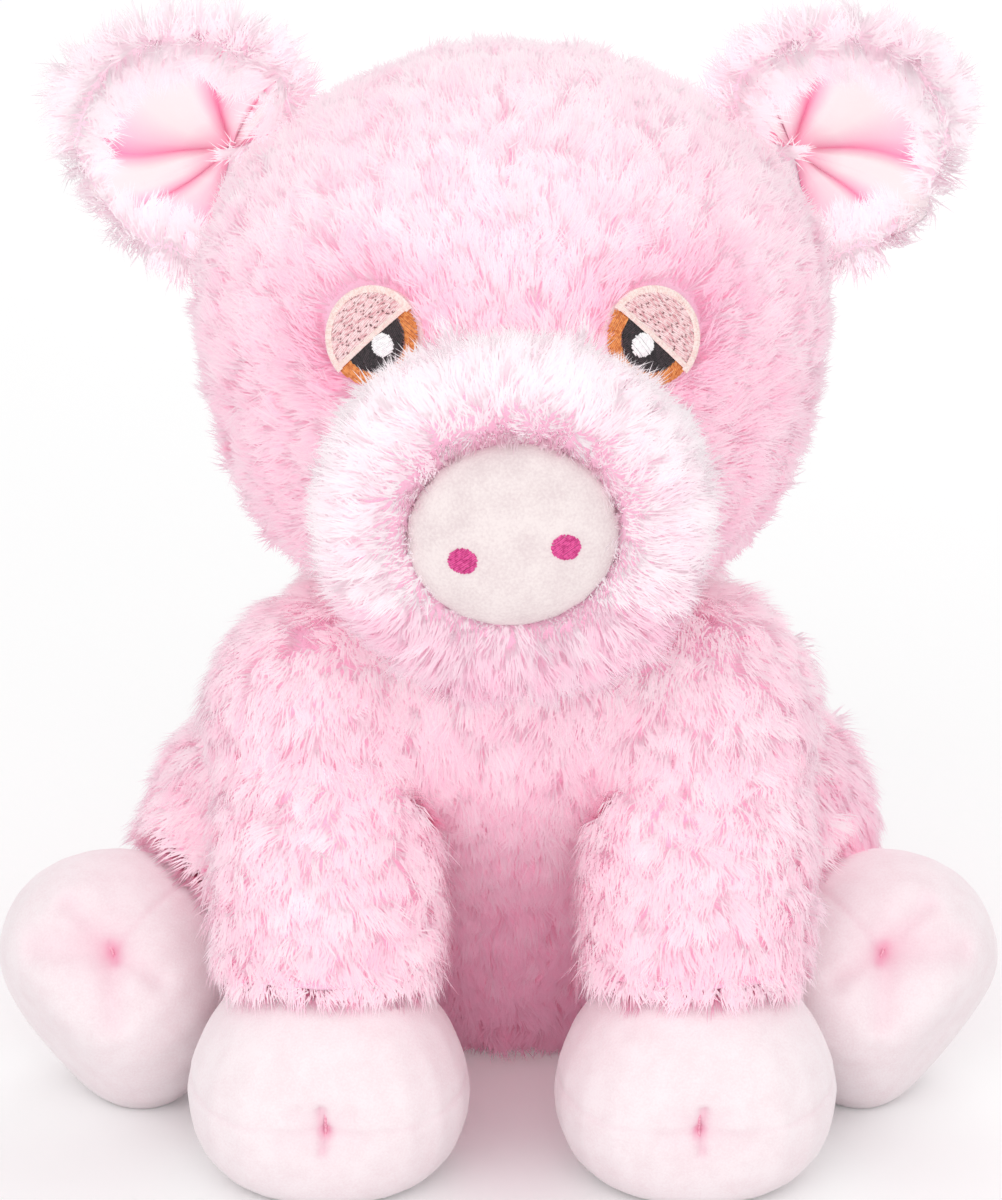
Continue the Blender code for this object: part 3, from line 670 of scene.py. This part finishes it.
def sewThreads(name, rows, place, thickness, lift, material, rng):
    # one tube per stitch, whose ends dip into the cloth
    lines = []
    for run in rows:
        picked = [run[0]] + run[2:-2:3] + [run[-1]]
        wobble = rng.uniform(-stitch["wobble"], stitch["wobble"])
        line = []
        for index, point in enumerate(picked):
            dip = thickness * stitch["dip"] if index in (0, len(picked) - 1) else 0
            line.append(domed(point, place, lift + wobble - dip))
        lines.append(line)
    return layThreads(name, lines, thickness, 1, material)


def satinBorder(path, width, pitch):
    # short stitches across a path of points, side by side
    rows = []
    for before, after in zip(path, path[1:]):
        length = (after - before).length
        for share in np.arange(0, 1, pitch / max(length, pitch)):
            spot = before.lerp(after, float(share))
            across = Vector((before.y - after.y, after.x - before.x)).normalized() * width / 2
            rows.append([spot + across * k for k in (-1, -0.6, 0, 0.6, 1)])
    return rows


# face

eye = {
    "at": (27.2, 183.5),  # mm from the middle, and up
    "radius": 9.9,
    "ground": 4.2,  # mm of padding under the threads
    "pupil": 6.6,
    "highlight": 2.4,
    "highlightAt": (1.0, -2.7),
    "slant": 40.6,  # degrees
    "border": 0.9,
    "pitch": 0.36,
    "thread": 0.42,
    "lift": 1.0,
    "shortShare": 0.6,  # of the lid's short stitches that are sewn
}
nostril = {
    "halfWidth": 2.9,  # mm
    "halfHeight": 2.6,
    "angle": 35,  # degrees
    "pitch": 0.36,
    "thread": 0.42,
    "lift": 0.25,
}


def frontOf(tree, x, z):
    # point and normal where a line straight from the front meets a surface, from mm
    point, normal, _, _ = tree.ray_cast(Vector((x, -300, z)) * mm, Vector((0, 1, 0)))
    return point, normal


def patchFrame(point, normal, edge):
    # frame of a patch that is sewn on: X along its edge, Z outwards
    up = normal.cross(edge).normalized()
    turn = Matrix((up.cross(normal), up, normal)).transposed().to_4x4()
    return Matrix.Translation(point) @ turn


def makeDisc(name, place, radius, lift, thickness, material):
    # padded ground of a patch, domed with the face
    bm = bmesh.new()
    bmesh.ops.create_circle(bm, cap_ends=True, segments=48, radius=radius)
    bmesh.ops.inset_region(bm, faces=bm.faces[:], thickness=radius * 0.06)
    bmesh.ops.inset_region(bm, faces=[max(bm.faces, key=lambda f: f.calc_area())], thickness=radius * 0.4)
    walls = bmesh.ops.extrude_face_region(bm, geom=bm.faces[:])
    below = {item for item in walls["geom"] if isinstance(item, bmesh.types.BMVert)}
    for vert in bm.verts:
        edge = vert.co.xy.length > radius * 0.97
        height = lift - (thickness if vert in below else 0) - (0.25 * thickness if edge else 0)
        vert.co = domed(vert.co.xy, place, height)
    faceOutwards(bm)
    return newObject(name, bm, material)


def makeEye(side):
    name = f"eye_{sideNames[side]}"
    rng = np.random.default_rng(40 + side)
    slant = math.radians(eye["slant"])
    point, normal = frontOf(treeOf(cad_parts["head"]), side * eye["at"][0], eye["at"][1])
    place = patchFrame(point, normal, Vector((math.cos(slant), 0, -side * math.sin(slant))))
    radius, lift = eye["radius"], eye["lift"]
    shineAt = Vector((side * -eye["highlightAt"][0], eye["highlightAt"][1]))

    def inDisc(u, v):
        return u * u + v * v < (radius - 0.3) ** 2

    def inPupil(u, v):
        return u * u + v * v < eye["pupil"] ** 2 and v < 0

    def rows(inside, degrees, pitch=eye["pitch"], longest=None):
        return stitchRows(inside, math.radians(degrees), pitch, radius, rng, longest)

    def inShine(u, v):
        return (u - shineAt.x) ** 2 + (v - shineAt.y) ** 2 < eye["highlight"] ** 2

    def sew(part, rows, thickness, above, material, node=None):
        threads = sewThreads(f"{name}_{part}", rows, place, thickness, lift + above, material, rng)
        if node:
            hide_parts(f"{name}_{node}")
        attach(threads, "head")

    ground = makeDisc(f"{name}_ground", place, radius, lift - 0.2, eye["ground"], lidThread)
    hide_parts(f"{name}_lid")
    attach(ground, "head")
    lidRows = rows(lambda u, v: inDisc(u, v) and v > 0.2, 8, longest=3.5)
    sew("lid_fill", lidRows, eye["thread"], 0.1, lidThread)
    shortRows = rows(lambda u, v: inDisc(u, v) and v > 1.2, -12, 1.0, 2.5)
    shortRows = [row for row in shortRows if rng.random() < eye["shortShare"]]
    sew("lid_short_stitches", shortRows, 0.3, 0.32, lidDarkThread)
    turns = np.linspace(-0.06, math.pi + 0.06, 60)
    arc = [Vector((math.cos(turn), math.sin(turn))) * (radius - 0.35) for turn in turns]
    edge = [Vector((u, 0.15)) for u in np.linspace(radius - 0.3, -radius + 0.3, 30)]
    borderRows = satinBorder(arc, eye["border"] + 0.3, 0.34) + satinBorder(edge, eye["border"], 0.34)
    sew("lid_border", borderRows, 0.5, 0.5, borderThread)
    irisRows = rows(lambda u, v: inDisc(u, v) and v < -0.2 and not inPupil(u, v + 0.3), 100)
    sew("iris_satin", irisRows, eye["thread"], 0.1, amberThread, "iris")
    pupilRows = rows(lambda u, v: inPupil(u, v + 0.2), 78)
    sew("pupil_satin", pupilRows, eye["thread"], 0.25, blackThread, "pupil")
    sew("highlight_satin", rows(inShine, -10, 0.34), 0.4, 0.55, whiteThread, "highlight")


def makeSnout():
    disc = makeSkin("snout_velour", "snout_disc", 0, material=velour, voxel=1.0, smoothing=10)
    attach(disc, "head")
    for side, sideName in sideNames.items():
        rng = np.random.default_rng(60 + side)
        low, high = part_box(f"nostril_{sideName}")
        spot = (low + high) / 2 / mm
        point, normal = frontOf(treeOf(disc), spot.x, spot.z)
        place = patchFrame(point, normal, Vector((1, 0, 0)))

        def inside(u, v):
            return (u / nostril["halfWidth"]) ** 2 + (v / nostril["halfHeight"]) ** 2 < 1

        rows = stitchRows(inside, math.radians(nostril["angle"]), nostril["pitch"], 4, rng)
        satin = sewThreads(f"nostril_{sideName}_satin", rows, place, nostril["thread"], nostril["lift"],
                           magentaThread, rng)
        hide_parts(f"nostril_{sideName}")
        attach(satin, "head")


def makeFace():
    makeSnout()
    for side in sideNames:
        makeEye(side)
    print("face is sewn")


# hooves

hoofForm = {
    "voxel": 0.9,  # mm
    "smoothing": 24,
    "inset": 0.1,
    # lines drawn in by the tie and the seam: angle from the inner side, start and end in degrees round the
    # hoof from the tie, then depth and width in mm
    "front": (
        (90, -4, 4, 1.1, 6.0), (78, -9, 1, 2.2, 1.2), (98, 0, 9, 1.9, 1.1), (14, 2, 15, 0.9, 2.0),
        (166, 2, 18, 0.9, 2.2), (-38, 3, 13, 0.8, 1.8), (216, 3, 14, 0.9, 1.9), (0, -85, 85, 0.35, 0.7),
    ),
    "rear": (
        (90, -2, 2, 1.6, 7.0), (70, -4, 5, 1.7, 1.2), (186, 2, 38, 2.4, 4.4), (88, 2, 32, 2.0, 3.2),
        (230, 2, 30, 1.8, 3.0), (30, 2, 26, 1.3, 2.6), (-48, 0, 85, 0.45, 0.8),
    ),
    # a rear hoof's toes rest forward on the ground
    "toes": (((101, -50, 14), 28, (3.5, -2, -1)), ((77, -50, 6), 28, (0, -6, -2))),
    "oneWay": 0.6,  # mm deep, from which a line is drawn straight in
    "fineLine": 1.6,  # mm wide, under which a line's painted shade is strong
    "creaseShades": (0.22, 0.08),  # painted shade of fine and wide lines, for each mm of depth
    "tie": 0.6,  # mm, the thread's thickness
}


def pressed(obj, rest, drawn, path, depth, width, direction):
    # draws the surface in along a path of points, in mm from its rest form: one way, together with what is
    # already drawn in there, or by itself along the surface's own normals
    tree = KDTree(len(path))
    for index, point in enumerate(path):
        tree.insert(Vector(point) * mm, index)
    tree.balance()
    # painted shade: the colour turns pink along each line, more for deeper and finer lines
    creaseShade = obj.data.attributes.get("drawn") or obj.data.attributes.new("drawn", "FLOAT", "POINT")
    strength = hoofForm["creaseShades"][0 if width < hoofForm["fineLine"] else 1]
    for vert in obj.data.vertices:
        distance = tree.find(rest[vert.index])[2] / mm
        if distance > width * 2.5:
            continue
        share = math.exp(-(distance / width) ** 2)
        creaseShade.data[vert.index].value += share * depth * strength
        if direction is None:
            vert.co -= vert.normal * depth * mm * share
            continue
        deeper = math.hypot(drawn[vert.index], depth * share)
        vert.co -= direction * (deeper - drawn[vert.index]) * mm
        drawn[vert.index] = deeper
    obj.data.update()


def makeHoof(node, body, side):
    kind = "front" if "front" in node else "rear"
    hoof = makeSkin(f"{node}_velboa", node, hoofForm["inset"], material=velboa, voxel=hoofForm["voxel"],
                    smoothing=hoofForm["smoothing"])
    low, high = (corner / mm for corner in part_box(f"{node}_stitch"))
    hoofLow, hoofHigh = (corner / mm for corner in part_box(node))
    middle = (hoofLow + hoofHigh) / 2
    if kind == "rear":
        sculpt(hoof, [mirroredMove(move, side) for move in hoofForm["toes"]])
        for vert in hoof.data.vertices:
            vert.co.z = max(vert.co.z, 0.1 * mm)
    surface = treeOf(hoof)
    tieAt, _, _, _ = surface.find_nearest((low + high) / 2 * mm)
    tieAt /= mm
    outward = (tieAt - middle).normalized()
    inner = (Vector((-side, 0, 0)) - outward * -side * outward.x).normalized()
    above = outward.cross(inner) * side

    def line(angle, start, end):
        # points in mm on the hoof, from start to end degrees round its middle
        ahead = inner * math.cos(math.radians(angle)) + above * math.sin(math.radians(angle))
        points = []
        for turn in np.radians(np.linspace(start, end, max(int(abs(end - start)), 2))):
            far = outward * math.cos(turn) + ahead * math.sin(turn)
            spot = surface.ray_cast((middle + far * 80) * mm, -far)[0]
            if spot is not None:
                points.append(spot / mm)
        return points

    rest = [vert.co.copy() for vert in hoof.data.vertices]
    drawn = [0] * len(rest)
    for angle, start, end, depth, width in hoofForm[kind]:
        direction = outward if depth > hoofForm["oneWay"] else None
        pressed(hoof, rest, drawn, line(angle, start, end), depth, width, direction)
    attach(hoof, body)
    cleft = line(90, -7, 5) if kind == "front" else line(65, -4, 4)
    sewTie(node, body, treeOf(hoof), cleft, outward)


def sewTie(node, body, surface, cleft, outward):
    # tie thread pulled tight across the cleft between the toes
    picked = cleft[::2]
    line = []
    for index, point in enumerate(picked):
        spot = surface.ray_cast((point + outward * 10) * mm, -outward)[0]
        lift = 0.2 if 0 < index < len(picked) - 1 else -0.5
        line.append(spot + outward * lift * mm)
    tie = layThreads(f"{node}_tie_thread", [line], hoofForm["tie"], 2, tieThread)
    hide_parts(f"{node}_stitch")
    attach(tie, body)


# ears

ear = {
    "root": (50.5, -38, 206.2),  # mm, middle of the seam on the head
    "centre": (1.8, 17.8),  # mm down the base seam and away from the head
    "radius": 24,  # mm, of the skin under the pile
    "broad": 0.25,  # how much wider it is towards the base
    "thickness": 3.4,
    "wall": 9,
    "cup": 10.4,  # mm that the sides come forward
    "curl": 9,  # mm that the base does
    "roll": 0.6,  # how square the rim is
    "tilt": 15,  # degrees
    "overlap": 2.5,  # mm of the lining's edge that the pile on the margin covers
}
earPile = {
    "length": 8.0,
    "perSquareMm": 7.0,
    "width": 0.3,
    "lean": 53,
    "tuftTurn": 28,
    "tuftLift": 8,
    "strandLift": 9,
    "gather": 0.2,
    "glow": 0.6,
    "tones": (0.05, 0.4),  # added behind the rim and in front of it, where the pile is painted paler as lit
}
lining = {
    "pinch": (2.0, 7.0),  # mm, in the ear's frame
    "lobes": (  # degrees from and to, reach and bulge in mm, and paleness, which paints shade on the folds that lie deeper, from the ear's top to its foot
        (140, 120, 12, 0.6, 0.15),
        (120, 98, 17, 4.5, 0.95),
        (98, 60, 19, 2.2, 0.6),
        (60, -18, 27, 5.5, 1.0),
        (-18, -54, 31, 4.8, 0.95),
        (-54, -90, 21, 2.5, 0.6),
    ),
    "bend": 7,  # degrees that the creases wander
    "rises": (0.12, 0.3),  # shares of a fold over which it rises from its crease
    "fall": 0.62,
    "tuck": (0.88, 12),  # share of the reach from which the edge is tucked in, and how steeply
    "above": 0.7,  # mm
    "thickness": 0.8,
}


def earFrame(side):
    tilt = math.radians(ear["tilt"])
    down = Vector((side * math.sin(tilt), 0, -math.cos(tilt)))
    away = Vector((side * math.cos(tilt), 0, math.sin(tilt)))
    turn = Matrix((down, away, Vector((0, -1, 0)))).transposed().to_4x4()
    return Matrix.Translation(Vector(mirrored(ear["root"], side)) * mm) @ turn


def earGround(across, along):
    # how far forward the middle of the cupped ear lies, in mm, from shares of its radius
    return ear["cup"] * across ** 2 + ear["curl"] * ((1 - along) / 2) ** 2 - ear["wall"] / 2


def makeEar(side):
    name = f"ear_{sideNames[side]}"
    place = earFrame(side)
    radius = ear["radius"]
    bm = bmesh.new()
    bmesh.ops.create_uvsphere(bm, u_segments=48, v_segments=32, radius=1)
    for vert in bm.verts:
        roll = math.copysign(abs(vert.co.z) ** ear["roll"], vert.co.z) * ear["thickness"]
        height = earGround(vert.co.x, vert.co.y) + roll
        broad = Vector((vert.co.x * (1 - ear["broad"] * vert.co.y), vert.co.y))
        spot = broad * radius + Vector(ear["centre"])
        vert.co = place @ (Vector((spot.x, spot.y, height)) * mm)
    faceOutwards(bm)
    skin = newObject(f"{name}_skin", bm, paleSkinCloth)
    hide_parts(f"{name}_outer")
    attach(skin, name)
    inverse = np.array(place.inverted())
    centre = np.array(place @ (Vector((*ear["centre"], 0)) * mm))

    def pastLining(roots):
        # mm from the lining's edge outwards
        local = roots @ inverse[:3, :3].T + inverse[:3, 3]
        ahead = local[:, :2] / mm - np.array(lining["pinch"])
        angles = np.degrees(np.arctan2(-ahead[:, 0], ahead[:, 1]))
        lobes = sorted(lining["lobes"])
        reach = np.interp(angles, [(lobe[0] + lobe[1]) / 2 for lobe in lobes], [lobe[2] for lobe in lobes])
        inFan = (angles < lobes[-1][0] + 5) & (angles > lobes[0][1] - 5)
        return np.linalg.norm(ahead, axis=1) - np.where(inFan, reach, 0)

    def onMargin(roots, outward):
        return (outward[:, 1] > -0.1) | (pastLining(roots) > -ear["overlap"])

    def outAndIn(roots, outward):
        # the pile falls over the lining's edge, and further out over the rim and down the back to its middle
        turn = np.clip((pastLining(roots) - 2.5) / 1.5, -1, 1)
        turn = np.where(outward[:, 1] < -0.2, turn, np.where(outward[:, 1] > 0.25, -1, 1))
        overRim = np.clip(1 - abs(outward[:, 1:2]) / 0.6, 0, 1) * np.array((0, 30 * mm, 0))
        return (roots - centre) * turn[:, None] + overRim + np.array((0, 0, 0.2 * mm))

    def litEarFront(roots):
        # painted light: the pile in front of the rim is paler than behind it
        return np.where(roots[:, 1] > centre[1] + 4 * mm, *earPile["tones"])

    growPile(f"{name}_pile", skin, {**pileBase, **earPile}, outAndIn, name, palePile, 30 + side, onMargin,
             paintedShadeAt=litEarFront)
    makeLining(side, place)


def makeLining(side, place):
    # crumpled velour: uneven folds that fan out from a pinch at the ear's base
    name = f"ear_{sideNames[side]}"
    rng = np.random.default_rng(70 + side)
    bm = bmesh.new()
    around, outwards = 200, 40
    bmesh.ops.create_grid(bm, x_segments=around, y_segments=outwards, size=0.5)
    mapped = bm.loops.layers.uv.new("OFBake")
    lobes = lining["lobes"]
    bends = rng.uniform(0, 2 * math.pi, len(lobes) + 1)
    rises = rng.uniform(*lining["rises"], len(lobes))
    spots = {}
    for vert in bm.verts:
        turn, out = vert.co.x + 0.5, vert.co.y + 0.5
        index = min(int(turn * len(lobes)), len(lobes) - 1)
        share = turn * len(lobes) - index
        start, end, reach, bulge, pale = lobes[index]
        start += lining["bend"] * math.sin(out * 3.6 + bends[index]) * out
        end += lining["bend"] * math.sin(out * 3.6 + bends[index + 1]) * out
        angle = math.radians(start + (end - start) * share)
        rise, fall = min(share / rises[index], 1), min((1 - share) / lining["fall"], 1)
        crest = math.sin(rise * math.pi / 2) * math.sin(fall * math.pi / 2)
        before, after = lobes[max(index - 1, 0)], lobes[min(index + 1, len(lobes) - 1)]
        beside = before if share < 0.5 else after
        blend = 0.5 + 0.5 * min(2 * min(share, 1 - share), 1)
        distance = (reach * blend + beside[2] * (1 - blend)) * (0.03 + 0.97 * out)
        spot = Vector(lining["pinch"]) + Vector((-math.sin(angle), math.cos(angle))) * distance
        flat = (spot - Vector(ear["centre"])) / ear["radius"]
        inside = min(flat.length, 1)
        ground = earGround(flat.x, flat.y) + ear["thickness"] * math.sqrt(max(1 - inside ** 2, 0))
        swell = math.sin(out ** 0.75 * math.pi * 0.9)
        wave = 0.4 * math.sin(out * 8 + bends[index]) * math.sin(share * math.pi)
        tuckFrom, tuckSlope = lining["tuck"]
        height = ground + lining["above"] + bulge * crest * swell + wave - max(out - tuckFrom, 0) * tuckSlope
        # painted shade: pinker in the creases, on the folds that lie deeper and near the pinch
        shade = crest * (pale * blend + beside[4] * (1 - blend))
        shade += (0.4 - shade) * max(1 - out / 0.3, 0)
        spots[vert] = (shade * 0.96 + 0.02, out * 0.96 + 0.02)
        vert.co = place @ (Vector((spot.x, spot.y, height)) * mm)
    for face in bm.faces:
        for loop in face.loops:
            loop[mapped].uv = spots[loop.vert]
    bmesh.ops.solidify(bm, geom=bm.faces[:], thickness=lining["thickness"] * mm)
    faceOutwards(bm)
    cloth = newObject(f"{name}_lining_velour", bm, liningVelour)
    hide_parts(f"{name}_lining")
    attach(cloth, name)


def makeEars():
    for side in sideNames:
        makeEar(side)
    print("ears are made")


# body and head

snoutAt = (0, 153.5)  # mm, x and z of the snout's middle
stuffed = {
    "shoulder": (38, -68, 90),  # mm, at the right
    "hip": (46, -26, 51),
    "torsoInset": 4.5,
    "torsoBalls": (((37, -66, 91), 29), ((46, -26, 51), 35)),  # place and radius in mm, at the right
    "headInset": 5,
    "headBalls": (((49, -38, 206), 9),),
    "muzzleInset": 4,
    "muzzleBall": ((0, -115, 153), 27),
    "lips": (25, 23, -132.3, 12.5),  # half width, half height, place along Y and thickness, in mm
    "tailInset": 0.9,
    "legInset": 5.2,
    "legVoxel": 2.5,
    "underEyes": ((27.2, -100, 183.5), 30, (1.4, -3.2, 1.0)),  # the face swells out up to the eyes' stitching
    "napeBelow": ((0, -12, 120), 46, (0, 0, 5.5)),  # the nape is stuffed up to its seam
    "napeAbove": ((0, 0, 125), 44, (0, 1.5, -5.0)),
}


def onBothSides(balls):
    return [(mirrored(place, side), radius) for place, radius in balls for side in sideNames]


def makeSkins():
    torso = makeSkin("torso_skin", "torso", stuffed["torsoInset"], onBothSides(stuffed["torsoBalls"]))
    head = makeSkin("head_skin", "head", stuffed["headInset"], onBothSides(stuffed["headBalls"]))
    # the muzzle's front is filled up to the snout, so that its pile starts at the snout's seam
    halfWidth, halfHeight, front, radius = stuffed["lips"]
    balls = [stuffed["muzzleBall"]]
    for turn in np.linspace(0, 2 * math.pi, 25)[1:]:
        balls.append(((halfWidth * math.cos(turn), front, snoutAt[1] + halfHeight * math.sin(turn)), radius))
    muzzle = makeSkin("muzzle_skin", "muzzle", stuffed["muzzleInset"], balls, voxel=2)
    tail = makeSkin("tail_skin", "tail", stuffed["tailInset"], voxel=1, smoothing=3)
    for side in sideNames:
        sculpt(head, [mirroredMove(stuffed["underEyes"], side)])
    sculpt(torso, [stuffed["napeBelow"]])
    sculpt(head, [stuffed["napeAbove"]])
    for piece, body in ((torso, "torso"), (head, "head"), (muzzle, "head"), (tail, "tail")):
        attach(piece, body)
    print("skins are made")
    return torso, head, muzzle, tail


def fromSnout(roots):
    return np.hypot(roots[:, 0] / mm - snoutAt[0], roots[:, 2] / mm - snoutAt[1])


def fromEyes(roots):
    # mm from the nearer eye's middle, seen from the front
    x, z = eye["at"]
    return np.min([np.hypot(roots[:, 0] / mm - side * x, roots[:, 2] / mm - z) for side in sideNames], axis=0)


def fromEars(roots):
    # mm from the nearer ear's root, so that the ears have room to fold
    spots = [np.array(mirrored(ear["root"], side)) * mm for side in sideNames]
    return np.min([np.linalg.norm(roots - spot, axis=1) / mm for spot in spots], axis=0)


def roundSnout(roots, outward):
    away = roots - np.array((snoutAt[0], 0, snoutAt[1])) * mm
    away[:, 1] = 0
    return unit(away) + np.array((0, 0.1, 0))


def shadeAroundEyes(roots):
    # painted shade: pinker in the hollow where the pile parts round the eyes
    return -0.4 * np.clip(1 - (fromEyes(roots) - 10) / 9, 0, 1) * (roots[:, 1] < -60 * mm)


def shadedBelly(roots):
    # painted shade: the belly's pile, low and in front under the chest, is the pinkest
    return -0.55 * np.clip((78 - roots[:, 2] / mm) / 50, 0, 1) * np.clip(-roots[:, 1] / mm / 40, 0, 1)


def offSeat(roots, outward):
    # no pile under the seat
    return (roots[:, 2] > 5 * mm) | (outward[:, 2] > -0.5)


def offFace(roots, outward):
    # no pile under the eyes' stitching and behind the snout
    return (roots[:, 1] > -60 * mm) | ((fromEyes(roots) > 9.7) & (fromSnout(roots) > 26))


def headLengths(roots):
    # shorter round the eyes, near the ears and under the nape
    byEyes = np.clip((fromEyes(roots) - 4) / 9, 0.6, 1)
    byEars = np.clip(fromEars(roots) / 16, 0.5, 1)
    return byEyes * byEars * np.clip((roots[:, 2] / mm - 104) / 30, 0.45, 1)


def offSnout(roots, outward):
    return (fromSnout(roots) > 18.5) | (roots[:, 1] > -118 * mm)


def muzzleLengths(roots):
    return np.clip(0.62 + (fromSnout(roots) - 19) / 22, 0.62, 1.3)


def muzzleLeans(roots):
    # the pile stands up at the snout's seam
    return np.clip(0.3 + (fromSnout(roots) - 18) / 14, 0.3, 1)


def muzzleShadeAndLight(roots):
    # painted shade and light: the muzzle's pile is pinker below 140 mm and paler above it
    return np.where(roots[:, 2] < 140 * mm, -0.1, 0.25)


muzzlePile = {**pileBase, "perSquareMm": 3.8, "lean": 54}
tailPile = {**pileBase, "perSquareMm": 6, "length": 3.4, "tone": 0.84}

torsoSkin, headSkin, muzzleSkin, tailSkin = makeSkins()
growPile("torso_pile", torsoSkin, pileBase, along((0, 0, -1)), "torso", bodyPile, 11, offSeat,
         paintedShadeAt=shadedBelly)
growPile("head_pile", headSkin, pileBase, awayFrom((0, -160, 150)), "head", bodyPile, 12, offFace,
         lengthAt=headLengths, paintedShadeAt=shadeAroundEyes)
growPile("muzzle_pile", muzzleSkin, muzzlePile, roundSnout, "head", palePile, 13,
         keepAll(offSnout, outsideOf(headSkin, 1)), muzzleLengths, muzzleLeans, muzzleShadeAndLight)
growPile("tail_pile", tailSkin, tailPile, along((0, 1, 0.2)), "tail", bodyPile, 14)

for side, sideName in sideNames.items():
    for limb, pivot in (("front_leg", stuffed["shoulder"]), ("rear_leg", stuffed["hip"])):
        node = f"{limb}_{sideName}"
        hoofNode = node.replace("leg", "hoof")
        skin = makeSkin(f"{node}_skin", node, stuffed["legInset"], voxel=stuffed["legVoxel"])
        low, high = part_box(hoofNode)
        heading = (low + high) / 2 - Vector(mirrored(pivot, side)) * mm
        growPile(f"{node}_pile", skin, pileBase, along(heading), node, bodyPile, 20 + side,
                 outsideOf(torsoSkin, 1.5))
        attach(skin, node)
        makeHoof(hoofNode, node, side)
print("legs and hooves are made")
makeFace()
makeEars()
